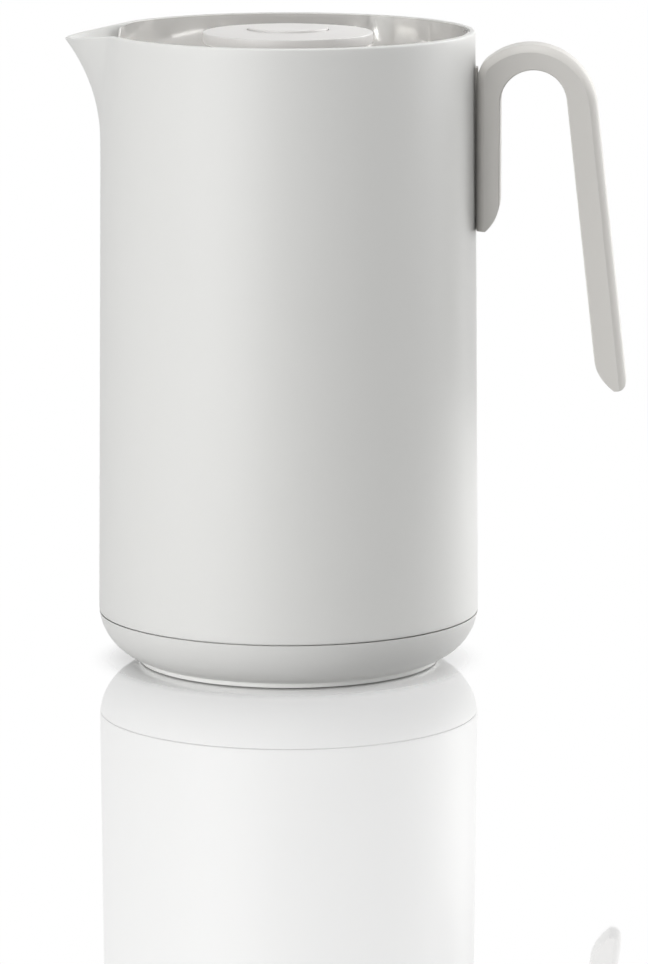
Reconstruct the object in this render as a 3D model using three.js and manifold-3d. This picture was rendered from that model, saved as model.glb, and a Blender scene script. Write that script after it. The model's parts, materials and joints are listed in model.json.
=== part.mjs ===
// A thermal carafe: a vacuum flask held in a moulded shell, with a spout, a hooked handle and a
// press-to-pour stopper. Millimetres, +Z up, origin on the floor in the middle of the foot.
// The spout points to -X and the handle to +X.
import * as THREE from 'three';
import { mergeVertices } from 'three/addons/utils/BufferGeometryUtils.js';
import Module from 'manifold-3d';

const wasm = await Module();
wasm.setup();

const degree = Math.PI / 180;

// Clearances
const fitGap = 0.3;
const slideGap = 0.35;
const boreGap = 0.4;

// Outer shell
const rimHeight = 236.5;
const bodyRadius = 71;
const bodyTaper = 0.0088;
const shellWall = 1.6;
const rimRound = 0.8;
const seamGap = 0.6;

// Spout: the wall above its root is bent outwards along an arc and keeps its length
const spoutHeight = 43;
const spoutBend = 64.4;
const spoutHalfAngle = 22.8 * degree;
const spoutRootShare = 0.55;

// Base
const footHeight = 1.9;
const footRound = 0.6;
const footRing = 2.6;
const footLift = 0.4;
const baseRound = 20;
const baseSweep = 75.5 * degree;
const baseWall = 2.2;
const seamHeight = 19.2;
const jointHeight = 11;
const jointWall = 3;
const sealSection = 0.75;

// Vacuum flask
const flaskWall = 1.6;
const flaskRadius = 52;
const flaskNeckRadius = 28.6;
const vacuumGap = 6;
const vacuumFloorGap = 8.4;
const vacuumNeckGap = 2.2;
const flaskStand = 9.6;
const flaskDome = 30;
const neckLength = 13;
const shoulderHeight = 42;
const shoulderEase = 0.6;
const neckEase = 0.4;
const tipLength = 4.6;
const tipRadius = 1.8;
const cushionInner = 24;
const cushionOuter = 36;
const neckGasketHeight = 2.4;
const neckGasketInset = 0.3;

// Pouring collar
const collarWall = 1.5;
const collarRound = 1;
const bowlDepth = 24.7;
const bowlFloor = 3.5;
const bowlRise = 4;
const bowlRound = 4;
const restWidth = 6;
const neckTubeLength = 12;
const neckTubeWall = 3.2;
const notchHalfTop = 26;
const notchHalfFoot = 5;
const notchDepth = 16.5;

// Stopper
const plugRadius = 22.5;
const plugWall = 2;
const plugDepth = 15.8;
const neckClearance = 2;
const flangeWidth = 4;
const flangeHeight = 1.6;
const gasketHeight = 5.5;
const gasketStopWidth = 1.3;
const seatWidth = 7;
const seatHeight = 2.2;
const webHeight = 2;
const hubRadius = 6;
const hubLift = 2;
const webHoleRadius = 3.6;
const webHoleCircle = 14;
const windowCount = 6;
const windowWidth = 14;
const windowHeight = 11.4;
const windowLift = 0.8;

// Lid cap
const lidRadius = 31.4;
const lidSink = 0.6;
const lidHeight = 4.5;
const lidPlate = 2.5;
const lidCrown = 0.9;
const lidTopRound = 0.45;
const lidFootRound = 1.6;
const lidEdgeWall = 2;
const sleeveWall = 1.5;
const sleeveLength = 6.4;
const skirtWall = 1.6;
const skirtLength = 6.9;

// Button and pouring valve
const buttonRadius = 14.7;
const buttonProud = 0.8;
const buttonRound = 0.35;
const buttonPlate = 2.4;
const buttonWall = 1.6;
const buttonSkirt = 8;
const bossLength = 9;
const bossWall = 2.7;
const stemRadius = 3;
const stemSeat = 1.3;
const stemEnd = 0.6;
const plateRadius = 19;
const plateHeight = 2.6;
const plateHubRadius = 7;
const plateHubHeight = 1.2;
const sealHeight = 2;
const sealWidth = 4.5;
const clipHeight = 1.3;
const clipWidth = 2.7;
const springRadius = 8.4;
const springWire = 0.7;
const springTurns = 5;

// Handle
const saddleThickness = 0.8;
const saddleWidth = 11;
const saddleFoot = 0.3;
const saddleHead = 12.8;
const handleWidth = 17;
const handleBevel = 1.6;
const archDrop = 26;
const archRadius = 12.3;
const archOuterRadius = 24.8;
const archOuterDrop = 2.9;
const archBackCut = 6.4;
const innerLegThickness = 7.5;
const innerLegLength = 47.3;
const innerLegFlat = 2.8;
const innerLegRound = 13.7;
const outerLegLength = 106.4;
const outerLegSlant = 6.4 * degree;
const tipCorner = 4.2;
const tipRound = 11.2;
const tipFlat = 1.9;
const legEndFullness = 0.42;
const backplateThickness = 1.5;
const backplateWidth = 12;
const backplateMargin = 8;
const backplateInset = 0.6;
const screwDrop = 10.5;
const screwSpacing = 22;
const screwRadius = 2;
const screwHeadRadius = 3.8;
const screwHeadHeight = 2.2;
const screwDepth = 5.2;

// Facets
const spoutSteps = 12;
const plainSteps = 34;
const flareSteps = 6;
const wideSides = 48;
const mediumSides = 32;
const smallSides = 24;
const flaskSides = 20;
const screwSides = 10;
const saddleSides = 144;
const flaskSteps = 4;
const curveSteps = 6;
const roundSteps = 2;
const springStepsPerTurn = 8;
const springSides = 5;
const sealSides = 5;
const handleSteps = 9;
const weldDistance = 1e-3;

// A cutting tool is this many times as thick as the wall that it goes through
const toolExcess = 4;

// Heights and radii that several pieces share
const capBottom = footHeight + fitGap;
const baseCurveTop = capBottom + baseRound * Math.sin(baseSweep);
const baseCurveCentre = bodyRadius - baseRound;
const footRadius = baseCurveCentre + baseRound * Math.cos(baseSweep);
const footBore = footRadius - footRing;
const capFloor = capBottom + baseWall;
const capTop = seamHeight - seamGap / 2;
const shellFoot = seamHeight + seamGap / 2;
const spoutRoot = rimHeight - spoutHeight;
const bowlHeight = rimHeight - bowlDepth;
const collarUnderside = bowlHeight - bowlFloor;
const collarTop = rimHeight - fitGap;
const collarOuter = wallRadius(rimHeight) - shellWall - boreGap;
const collarInner = collarOuter - collarWall;
const neckRadius = plugRadius + neckClearance;
const neckTubeOuter = neckRadius + neckTubeWall;
const flaskLip = collarUnderside - 2 * fitGap - neckGasketHeight;
const flaskOuterRadius = flaskRadius + flaskWall + vacuumGap;
const flaskOuterNeck = flaskNeckRadius + flaskWall + vacuumNeckGap;
const flaskLipRadius = flaskOuterNeck + flaskWall;
const flaskOuterFloor = capFloor + flaskStand;
const flaskInnerFloor = flaskOuterFloor + flaskWall + vacuumFloorGap;
const lidTop = rimHeight - lidSink;
const lidFoot = lidTop - lidHeight;
const lidUnderside = lidTop - lidPlate;
const plugInner = plugRadius - plugWall;
const plugFoot = bowlHeight - plugDepth;
const plugTop = lidUnderside - fitGap;
const flangeFoot = bowlHeight + fitGap;
const webTop = flangeFoot + flangeHeight;
const gasketTop = flangeFoot - fitGap;
const gasketFoot = gasketTop - gasketHeight;
const buttonTop = lidTop + lidCrown + buttonProud;
const buttonUnderside = buttonTop - buttonPlate;
const stemBore = stemRadius + fitGap;
const sealTop = plugFoot - fitGap;
const plateTop = sealTop - sealHeight - fitGap;
const plateFoot = plateTop - plateHeight;
const clipTop = plateFoot - fitGap;
const clipFoot = clipTop - clipHeight;
const archHeight = rimHeight - archDrop;
const legFoot = archHeight - innerLegLength;
const handleBack = wallRadius(legFoot) + saddleThickness + 2 * fitGap;
const backplateFace = wallRadius(rimHeight) - shellWall - backplateInset;
const screwHeights = [archHeight - screwDrop, archHeight - screwDrop - screwSpacing];

// Radius of the plain outer wall at a height, before the spout is bent out of it.
function wallRadius(height) {
  return bodyRadius - bodyTaper * (height - baseCurveTop);
}

// Outer radius of the rounded base at a height below the start of its curve.
function baseRadius(height) {
  return baseCurveCentre + Math.sqrt(baseRound ** 2 - (baseCurveTop - height) ** 2);
}

// Share of the spout's bend at an angle from its centre line, 1 on the line and 0 past its sides.
function spoutShare(angle, climb) {
  const reach = spoutHalfAngle * (spoutRootShare + (1 - spoutRootShare) * climb);
  return Math.abs(angle) < reach ? Math.cos((angle / reach) * (Math.PI / 2)) ** 2 : 0;
}

// Moves a point of the body's wall to where the spout's bend carries it.
function bend([radius, height], angle) {
  const length = height - spoutRoot;
  if (length <= 0) {
    return [radius, height];
  }
  const share = spoutShare(angle, length / spoutHeight);
  const turn = length / spoutBend;
  const out = share * spoutBend * (1 - Math.cos(turn));
  const drop = share * (length - spoutBend * Math.sin(turn));
  return [radius + out, height - drop];
}

// Heights of the wall's rings from one height to another, on the steps that every bent wall shares.
function wallHeights(from, to) {
  const heights = [];
  for (let step = 0; step <= flareSteps; step++) {
    const height = spoutRoot + (spoutHeight * step) / flareSteps;
    if (height > from + rimRound && height < to - rimRound) {
      heights.push(height);
    }
  }
  return [from, ...heights, to];
}

// Angles round the body from the spout's centre line, close together across the spout.
function bodyAngles() {
  const edge = spoutHalfAngle;
  const rest = 2 * Math.PI - 2 * edge;
  const angles = [];
  for (let step = 0; step < spoutSteps; step++) {
    angles.push(-edge + (2 * edge * step) / spoutSteps);
  }
  for (let step = 0; step < plainSteps; step++) {
    angles.push(edge + (rest * step) / plainSteps);
  }
  return angles;
}

// Keeps positions only, joins shared vertices and drops triangles that have no area.
function welded(geometry) {
  const bare = geometry.clone();
  const extras = Object.keys(bare.attributes).filter((key) => key !== 'position');
  extras.forEach((key) => bare.deleteAttribute(key));
  const merged = mergeVertices(bare, weldDistance);
  const source = merged.index.array;
  const kept = [];
  for (let first = 0; first < source.length; first += 3) {
    const [a, b, c] = [source[first], source[first + 1], source[first + 2]];
    if (a !== b && b !== c && c !== a) {
      kept.push(a, b, c);
    }
  }
  merged.setIndex(kept);
  return merged;
}

function geometryFrom(positions, triangles) {
  const geometry = new THREE.BufferGeometry();
  geometry.setAttribute('position', new THREE.Float32BufferAttribute(positions, 3));
  geometry.setIndex(triangles);
  return geometry;
}

function toManifold(geometry) {
  const closed = welded(geometry);
  const vertProperties = new Float32Array(closed.attributes.position.array);
  const triVerts = new Uint32Array(closed.index.array);
  return new wasm.Manifold(new wasm.Mesh({ numProp: 3, vertProperties, triVerts }));
}

// Cuts every tool out of a closed geometry.
function cut(geometry, tools) {
  let solid = toManifold(geometry);
  for (const tool of tools) {
    solid = solid.subtract(toManifold(tool));
  }
  const mesh = solid.getMesh();
  return geometryFrom(Array.from(mesh.vertProperties), Array.from(mesh.triVerts));
}

// Solid of revolution about Z from a profile of [radius, height] points that runs counter-clockwise.
function revolve(profile, sides) {
  const points = profile.map(([radius, height]) => new THREE.Vector2(radius, height));
  return new THREE.LatheGeometry(points, sides).rotateX(Math.PI / 2);
}

// Ring of revolution from a counter-clockwise loop that doesn't touch the axis.
function revolveLoop(loop, sides) {
  return revolve([...loop, loop[0]], sides);
}

// Closed ring through one loop of [radius, height] points for each angle from the spout's centre line.
function loftRing(angles, loopAt) {
  const positions = [];
  const triangles = [];
  const count = loopAt(angles[0]).length;
  for (const angle of angles) {
    for (const [radius, height] of loopAt(angle)) {
      positions.push(-radius * Math.cos(angle), -radius * Math.sin(angle), height);
    }
  }
  for (let ring = 0; ring < angles.length; ring++) {
    const next = (ring + 1) % angles.length;
    for (let point = 0; point < count; point++) {
      const after = (point + 1) % count;
      const [a, b] = [ring * count + point, next * count + point];
      const [c, d] = [next * count + after, ring * count + after];
      triangles.push(a, b, c, a, c, d);
    }
  }
  return geometryFrom(positions, triangles);
}

// Points of an arc in a profile, from one angle to another.
function arcPoints(centreRadius, centreHeight, radius, from, to, steps) {
  const points = [];
  for (let step = 0; step <= steps; step++) {
    const angle = from + ((to - from) * step) / steps;
    points.push([centreRadius + radius * Math.cos(angle), centreHeight + radius * Math.sin(angle)]);
  }
  return points;
}

// Cylinder along X from one place to another.
function rodAlongX(radius, from, to, height) {
  const rod = new THREE.CylinderGeometry(radius, radius, to - from, screwSides);
  return rod.rotateZ(Math.PI / 2).translate((from + to) / 2, 0, height);
}

// Outline drawn in X and Z, extruded along Y and centred on it.
function extrudeAcross(outline, width, options) {
  const bevel = options.bevelThickness ?? 0;
  const geometry = new THREE.ExtrudeGeometry(outline, { ...options, depth: width - 2 * bevel });
  return geometry.translate(0, 0, bevel - width / 2).rotateX(Math.PI / 2);
}

// Shell wall with the rounded rim and the spout, open at the foot where the base cap goes in.
function outerShell() {
  const roundCentre = wallRadius(rimHeight) - rimRound;
  const round = arcPoints(roundCentre, rimHeight - rimRound, rimRound, 0, Math.PI / 2, roundSteps);
  const outer = wallHeights(spoutRoot, rimHeight - rimRound).slice(0, -1);
  const inner = wallHeights(spoutRoot, rimHeight).reverse();
  const wall = [
    [baseRadius(shellFoot), shellFoot],
    [wallRadius(baseCurveTop), baseCurveTop],
    ...outer.map((height) => [wallRadius(height), height]),
    ...round,
    ...inner.map((height) => [wallRadius(height) - shellWall, height]),
    [baseRadius(shellFoot) - shellWall, shellFoot],
  ];
  const loopAt = (angle) => wall.map((point) => bend(point, angle));
  const holes = screwHeights.map((height) => rodAlongX(screwRadius + fitGap, 0, handleBack, height));
  return cut(loftRing(bodyAngles(), loopAt), holes);
}

// Bowl under the rim: a wall that lines the shell, a sloping floor and a tube that enters the flask's
// neck. The wall stops in a notch at the spout, so the liquid leaves over the shell's own lip.
function pouringCollar() {
  const edgeHeight = bowlHeight + bowlRise;
  const edgeRadius = collarInner - bowlRound;
  const restRadius = neckRadius + restWidth;
  const corner = arcPoints(edgeRadius, edgeHeight + bowlRound, bowlRound, 0, -Math.PI / 2, roundSteps);
  const outer = wallHeights(collarUnderside + bowlRise, collarTop);
  const inner = wallHeights(edgeHeight + bowlRound, collarTop - collarRound).reverse().slice(0, -1);
  const loopAt = (angle) => [
    [neckRadius, bowlHeight - neckTubeLength],
    [neckTubeOuter, bowlHeight - neckTubeLength],
    [neckTubeOuter, collarUnderside],
    [restRadius, collarUnderside],
    ...outer.map((height) => bend([collarOuter, height], angle)),
    bend([collarInner + collarRound, collarTop], angle),
    ...inner.map((height) => bend([collarInner, height], angle)),
    ...corner.map((point) => bend(point, angle)),
    [restRadius, bowlHeight],
    [neckRadius, bowlHeight],
  ];
  const notch = new THREE.Shape();
  const notchFoot = rimHeight - notchDepth;
  const slope = (notchHalfTop - notchHalfFoot) / notchDepth;
  const notchTop = rimHeight + collarWall;
  const halfTop = notchHalfTop + slope * collarWall;
  notch.moveTo(-halfTop, notchTop);
  notch.lineTo(-notchHalfFoot, notchFoot);
  notch.quadraticCurveTo(0, notchFoot - notchHalfFoot / slope, notchHalfFoot, notchFoot);
  notch.lineTo(halfTop, notchTop);
  notch.closePath();
  const tool = new THREE.ExtrudeGeometry(notch, {
    depth: bodyRadius, bevelEnabled: false, curveSegments: curveSteps,
  });
  tool.rotateX(Math.PI / 2).rotateZ(-Math.PI / 2).translate(-restRadius, 0, 0);
  return cut(loftRing(bodyAngles(), loopAt), [tool]);
}

// Half outline of one skin of the flask, from the axis at its floor to the top of its neck.
function flaskOutline(sideRadius, neck, floor, top) {
  const neckStart = flaskLip - neckLength;
  const shoulderStart = neckStart - shoulderHeight;
  const path = new THREE.Path();
  path.absellipse(0, floor + flaskDome, sideRadius, flaskDome, -Math.PI / 2, 0, false, 0);
  path.lineTo(sideRadius, shoulderStart);
  path.bezierCurveTo(
    sideRadius, shoulderStart + shoulderHeight * shoulderEase,
    neck, neckStart - shoulderHeight * neckEase,
    neck, neckStart,
  );
  path.lineTo(neck, top);
  return path.getPoints(flaskSteps).map((point) => [Math.max(point.x, 0), point.y]);
}

// Inner wall of the flask, with the lip that closes the vacuum space at the top of the neck.
function flaskInnerWall() {
  const lipFoot = flaskLip - flaskWall;
  const neck = flaskNeckRadius + flaskWall;
  const outside = flaskOutline(flaskRadius + flaskWall, neck, flaskInnerFloor, lipFoot);
  const inside = flaskOutline(flaskRadius, flaskNeckRadius, flaskInnerFloor + flaskWall, flaskLip);
  const lip = [[flaskLipRadius, lipFoot], [flaskLipRadius, flaskLip]];
  return revolve([...outside, ...lip, ...inside.reverse()], flaskSides);
}

// Outer wall of the flask, with the sealed tip that pumping leaves under its floor.
function flaskOuterWall() {
  const top = flaskLip - flaskWall - fitGap;
  const outside = flaskOutline(flaskOuterRadius + flaskWall, flaskLipRadius, flaskOuterFloor, top);
  const inside = flaskOutline(flaskOuterRadius, flaskOuterNeck, flaskOuterFloor + flaskWall, top);
  const tip = [[0, flaskOuterFloor - tipLength], [tipRadius, flaskOuterFloor - tipLength + tipRadius]];
  const skin = outside.filter(([radius]) => radius > tipRadius * 2);
  return revolve([...tip, ...skin, ...inside.reverse()], flaskSides);
}

// Height of the flask's underside at a radius.
function flaskUnderside(radius) {
  const share = radius / (flaskOuterRadius + flaskWall);
  return flaskOuterFloor + flaskDome * (1 - Math.sqrt(1 - share ** 2));
}

// Soft ring on the base cap that carries the flask.
function flaskCushion() {
  const top = [];
  for (let step = curveSteps / 2; step >= 0; step--) {
    const radius = cushionInner + ((cushionOuter - cushionInner) * step) / (curveSteps / 2);
    top.push([radius, flaskUnderside(radius) - 2 * fitGap]);
  }
  const foot = capFloor + fitGap;
  return revolveLoop([[cushionInner, foot], [cushionOuter, foot], ...top], smallSides);
}

// Soft ring between the flask's lip and the collar.
function neckGasket() {
  const inner = flaskNeckRadius + neckGasketInset;
  const foot = flaskLip + fitGap;
  const top = foot + neckGasketHeight;
  return revolveLoop([
    [inner, foot],
    [flaskLipRadius, foot],
    [flaskLipRadius, top],
    [inner, top],
  ], smallSides);
}

// Radius of the ring on the base cap that slides up into the shell.
function jointRadius() {
  return Math.min(baseRadius(shellFoot), wallRadius(capTop + jointHeight)) - shellWall - boreGap;
}

// Radius of the floor of the groove in that ring.
function grooveRadius() {
  return jointRadius() + boreGap - 2 * fitGap - 2 * sealSection;
}

// Rounded bottom of the body: a low ring round the foot pad, and a grooved ring that goes up into
// the shell.
function baseCap() {
  const outerFrom = -baseSweep;
  const outerTo = -Math.asin((baseCurveTop - capTop) / baseRound);
  const outer = arcPoints(baseCurveCentre, baseCurveTop, baseRound, outerFrom, outerTo, curveSteps);
  const ring = jointRadius();
  const ringInner = ring - jointWall;
  const innerRound = baseRound - baseWall;
  const innerTo = -Math.acos((ringInner - baseCurveCentre) / innerRound);
  const innerFrom = -Math.asin((baseCurveTop - capFloor) / innerRound);
  const inner = arcPoints(baseCurveCentre, baseCurveTop, innerRound, innerTo, innerFrom, roundSteps);
  const groove = grooveRadius();
  const grooveFoot = capTop + jointHeight / 2 - sealSection - fitGap;
  const grooveTop = capTop + jointHeight / 2 + sealSection + fitGap;
  return revolve([
    [0, capBottom],
    [footBore, capBottom],
    [footBore, footLift],
    [footRadius, footLift],
    ...outer,
    [ring, capTop],
    [ring, grooveFoot],
    [groove, grooveFoot],
    [groove, grooveTop],
    [ring, grooveTop],
    [ring, capTop + jointHeight],
    [ringInner, capTop + jointHeight],
    ...inner,
    [0, capFloor],
  ], wideSides);
}

// Ring that fills the groove of the base cap's joint.
function baseSeal() {
  const centre = grooveRadius() + fitGap + sealSection;
  const height = capTop + jointHeight / 2;
  const section = arcPoints(centre, height, sealSection, 0, 2 * Math.PI, sealSides).slice(1);
  return revolveLoop(section, wideSides);
}

// Soft disc in the foot ring that the carafe stands on.
function footPad() {
  const radius = footBore - fitGap;
  return revolve([
    [0, 0],
    [radius - footRound, 0],
    [radius, footRound],
    [radius, footHeight],
    [0, footHeight],
  ], wideSides);
}

// Rounds the end of a leg off up to a point, with a curve that is fuller than a straight cut.
function roundLegEnd(outline, corner, end) {
  const control = outline.currentPoint.clone().lerp(end, 0.5).lerp(corner, legEndFullness);
  outline.quadraticCurveTo(control.x, control.y, end.x, end.y);
}

// Side outline of the handle: a short leg against the body, an arch and a long slanted free leg.
function handleOutline() {
  const inner = handleBack + innerLegThickness;
  const reach = archOuterRadius - archBackCut;
  const innerCentre = new THREE.Vector2(inner + archRadius, archHeight);
  const outerCentre = new THREE.Vector2(handleBack + reach, archHeight - archOuterDrop);
  const archStart = Math.acos(-reach / archOuterRadius);
  const backTop = outerCentre.y + archOuterRadius * Math.sin(archStart);
  const down = new THREE.Vector2(Math.sin(outerLegSlant), -Math.cos(outerLegSlant));
  const away = new THREE.Vector2(Math.cos(outerLegSlant), Math.sin(outerLegSlant));
  const tipHeight = archHeight - outerLegLength;
  const outerStart = outerCentre.clone().addScaledVector(away, archOuterRadius);
  const innerStart = innerCentre.clone().addScaledVector(away, archRadius);
  const along = (start, height) => start.clone().addScaledVector(down, (start.y - height) / -down.y);
  const outerCorner = along(outerStart, tipHeight);
  const outerEnd = along(outerStart, tipHeight + tipCorner);
  const innerCorner = along(innerStart, tipHeight);
  const innerEnd = along(innerStart, tipHeight + tipRound);
  const flatEnd = outerCorner.x - tipCorner;

  const outline = new THREE.Shape();
  outline.moveTo(handleBack, legFoot);
  outline.lineTo(handleBack, backTop);
  outline.absarc(outerCentre.x, outerCentre.y, archOuterRadius, archStart, outerLegSlant, true);
  outline.lineTo(outerEnd.x, outerEnd.y);
  outline.quadraticCurveTo(outerCorner.x, outerCorner.y, flatEnd, tipHeight);
  outline.lineTo(flatEnd - tipFlat, tipHeight);
  roundLegEnd(outline, innerCorner, innerEnd);
  outline.absarc(innerCentre.x, innerCentre.y, archRadius, outerLegSlant, Math.PI, false);
  outline.lineTo(inner, legFoot + innerLegRound);
  const footCorner = new THREE.Vector2(inner, legFoot);
  roundLegEnd(outline, footCorner, new THREE.Vector2(handleBack + innerLegFlat, legFoot));
  outline.closePath();
  return outline;
}

// Hooked handle with blind holes for the two screws.
function handle() {
  const body = extrudeAcross(handleOutline(), handleWidth, {
    bevelThickness: handleBevel,
    bevelSize: handleBevel,
    bevelOffset: -handleBevel,
    bevelSegments: roundSteps,
    curveSegments: handleSteps,
  });
  const depth = screwDepth + fitGap;
  const holes = screwHeights.map((height) => {
    return rodAlongX(screwRadius + fitGap, handleBack - depth, handleBack + depth, height);
  });
  return cut(body, holes);
}

// Thin pad between the round shell and the flat back of the handle.
function handleSaddle() {
  const foot = legFoot + saddleFoot;
  const head = archHeight + saddleHead;
  const face = handleBack - fitGap;
  const depth = handleBack - bodyRadius / 2;
  const block = new THREE.BoxGeometry(depth, saddleWidth, head - foot);
  block.translate(face - depth / 2, 0, (head + foot) / 2);
  const low = foot - saddleFoot;
  const high = head + saddleFoot;
  const body = revolve([
    [0, low],
    [wallRadius(low) + fitGap, low],
    [wallRadius(high) + fitGap, high],
    [0, high],
  ], saddleSides);
  const holes = screwHeights.map((height) => rodAlongX(screwRadius + fitGap, 0, handleBack, height));
  return cut(block, [body, ...holes]);
}

// Flat plate inside the shell that spreads the pull of the handle's screws.
function handleBackplate() {
  const half = backplateWidth / 2;
  const top = screwHeights[0] + backplateMargin - half;
  const foot = screwHeights[1] - backplateMargin + half;
  const plate = new THREE.Shape();
  plate.absarc(0, top, half, 0, Math.PI, false);
  plate.absarc(0, foot, half, Math.PI, 2 * Math.PI, false);
  plate.closePath();
  for (const height of screwHeights) {
    const hole = new THREE.Path();
    hole.absarc(0, height, screwRadius + fitGap, 0, 2 * Math.PI, true);
    plate.holes.push(hole);
  }
  const geometry = new THREE.ExtrudeGeometry(plate, {
    depth: backplateThickness, bevelEnabled: false, curveSegments: curveSteps,
  });
  geometry.rotateX(Math.PI / 2).rotateZ(Math.PI / 2);
  return geometry.translate(backplateFace - backplateThickness, 0, 0);
}

// Screw from inside the shell into the handle, its head against the backplate.
function handleScrew(height) {
  const headFace = backplateFace - backplateThickness - fitGap;
  const end = handleBack + screwDepth;
  const screw = revolve([
    [0, headFace - screwHeadHeight],
    [screwHeadRadius, headFace - screwHeadHeight],
    [screwHeadRadius, headFace],
    [screwRadius, headFace],
    [screwRadius, end],
    [0, end],
  ], screwSides);
  return screw.rotateY(Math.PI / 2).translate(0, 0, height);
}

// Plug of the stopper: valve seat below, guide web inside, rest flange, and windows that let the
// liquid out into the bowl.
function stopperBody() {
  const seatRadius = plugRadius - seatWidth;
  const hubBore = stemRadius + boreGap;
  const webFoot = webTop - webHeight;
  const stopRadius = plugRadius + gasketStopWidth;
  const stopTop = gasketFoot - fitGap;
  const stopFoot = stopTop - flangeHeight;
  const profile = [
    [seatRadius, plugFoot],
    [plugRadius, plugFoot],
    [plugRadius, stopFoot],
    [stopRadius, stopFoot],
    [stopRadius, stopTop],
    [plugRadius, stopTop],
    [plugRadius, flangeFoot],
    [plugRadius + flangeWidth, flangeFoot],
    [plugRadius + flangeWidth, webTop],
    [plugRadius, webTop],
    [plugRadius, plugTop],
    [plugInner, plugTop],
    [plugInner, webTop],
    [hubRadius, webTop],
    [hubRadius, webTop + hubLift],
    [hubBore, webTop + hubLift],
    [hubBore, webFoot - hubLift],
    [hubRadius, webFoot - hubLift],
    [hubRadius, webFoot],
    [plugInner, webFoot],
    [plugInner, plugFoot + seatHeight],
    [seatRadius, plugFoot + seatHeight],
  ];
  const tools = [];
  for (let index = 0; index < windowCount; index++) {
    const turn = (index * 2 * Math.PI) / windowCount;
    const opening = new THREE.BoxGeometry(toolExcess * plugWall, windowWidth, windowHeight);
    opening.translate(plugRadius - plugWall / 2, 0, webTop + windowLift + windowHeight / 2);
    tools.push(opening.rotateZ(turn));
    const drill = toolExcess * webHeight;
    const hole = new THREE.CylinderGeometry(webHoleRadius, webHoleRadius, drill, screwSides);
    hole.rotateX(Math.PI / 2).translate(webHoleCircle, 0, webTop - webHeight / 2);
    tools.push(hole.rotateZ(turn));
  }
  return cut(revolveLoop(profile, smallSides), tools);
}

// Soft ring round the plug that seals in the collar's neck tube.
function stopperGasket() {
  const inner = plugRadius + fitGap;
  const outer = neckRadius - fitGap;
  const middle = (gasketTop + gasketFoot) / 2;
  const waist = outer - fitGap;
  return revolveLoop([
    [inner, gasketFoot],
    [waist, gasketFoot],
    [outer, (gasketFoot + middle) / 2],
    [waist, middle],
    [outer, (gasketTop + middle) / 2],
    [waist, gasketTop],
    [inner, gasketTop],
  ], smallSides);
}

// Lid disc with a crowned top, a hole and sleeve for the button and a skirt that snaps into the plug.
function lidCap() {
  const hole = buttonRadius + slideGap;
  const sleeve = hole + sleeveWall;
  const skirtOuter = plugInner - fitGap;
  const skirtInner = skirtOuter - skirtWall;
  const crown = lidTop + lidCrown;
  const footCentre = lidRadius - lidFootRound;
  const footArc = arcPoints(footCentre, lidFoot + lidFootRound, lidFootRound, -Math.PI / 2, 0, roundSteps);
  return revolveLoop([
    [hole, lidUnderside - sleeveLength],
    [sleeve, lidUnderside - sleeveLength],
    [sleeve, lidUnderside],
    [skirtInner, lidUnderside],
    [skirtInner, lidUnderside - skirtLength],
    [skirtOuter, lidUnderside - skirtLength],
    [skirtOuter, lidUnderside],
    [lidRadius - lidEdgeWall, lidUnderside],
    [lidRadius - lidEdgeWall, lidFoot],
    ...footArc,
    [lidRadius, lidTop - lidTopRound],
    [lidRadius - lidTopRound, lidTop],
    [hole + lidTopRound, crown],
    [hole, crown - lidTopRound / 2],
  ], mediumSides);
}

// Cup-shaped button with a boss that takes the valve stem.
function pressButton() {
  const boss = stemBore + bossWall;
  const inner = buttonRadius - buttonWall;
  const socketTop = buttonUnderside - stemSeat + fitGap;
  return revolve([
    [0, socketTop],
    [stemBore, socketTop],
    [stemBore, buttonUnderside - bossLength],
    [boss, buttonUnderside - bossLength],
    [boss, buttonUnderside],
    [inner, buttonUnderside],
    [inner, buttonTop - buttonSkirt],
    [buttonRadius, buttonTop - buttonSkirt],
    [buttonRadius, buttonTop - buttonRound],
    [buttonRadius - buttonRound, buttonTop],
    [0, buttonTop],
  ], smallSides);
}

// Rod that carries the button's push down to the valve plate.
function valveStem() {
  const top = buttonUnderside - stemSeat;
  const foot = clipFoot - stemEnd;
  return revolve([[0, foot], [stemRadius, foot], [stemRadius, top], [0, top]], screwSides);
}

// Disc that closes the plug's seat from below.
function valvePlate() {
  const top = [
    [plateRadius, plateTop],
    [plateHubRadius, plateTop],
    [plateHubRadius, plateTop + plateHubHeight],
    [stemBore, plateTop + plateHubHeight],
  ];
  return revolveLoop([[stemBore, plateFoot], [plateRadius, plateFoot], ...top], smallSides);
}

// Soft ring on the valve plate.
function valveSeal() {
  const inner = plateRadius - sealWidth;
  const foot = sealTop - sealHeight;
  return revolveLoop([
    [inner, foot],
    [plateRadius, foot],
    [plateRadius, sealTop],
    [inner, sealTop],
  ], smallSides);
}

// Open retaining ring that holds the plate on the stem.
function valveClip() {
  const outer = stemBore + clipWidth;
  const ring = revolveLoop(
    [[stemBore, clipFoot], [outer, clipFoot], [outer, clipTop], [stemBore, clipTop]],
    screwSides,
  );
  const mouth = new THREE.BoxGeometry(2 * outer, stemBore, toolExcess * clipHeight);
  return cut(ring, [mouth.translate(outer, 0, clipFoot + clipHeight / 2)]);
}

// Smallest distance between the surfaces of neighbouring turns of the spring.
function springSelfGap(points) {
  let least = Infinity;
  points.forEach((point, index) => {
    for (let other = index + springStepsPerTurn / 2; other < points.length; other++) {
      least = Math.min(least, point.distanceTo(points[other]));
    }
  });
  return least - 2 * springWire;
}

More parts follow.
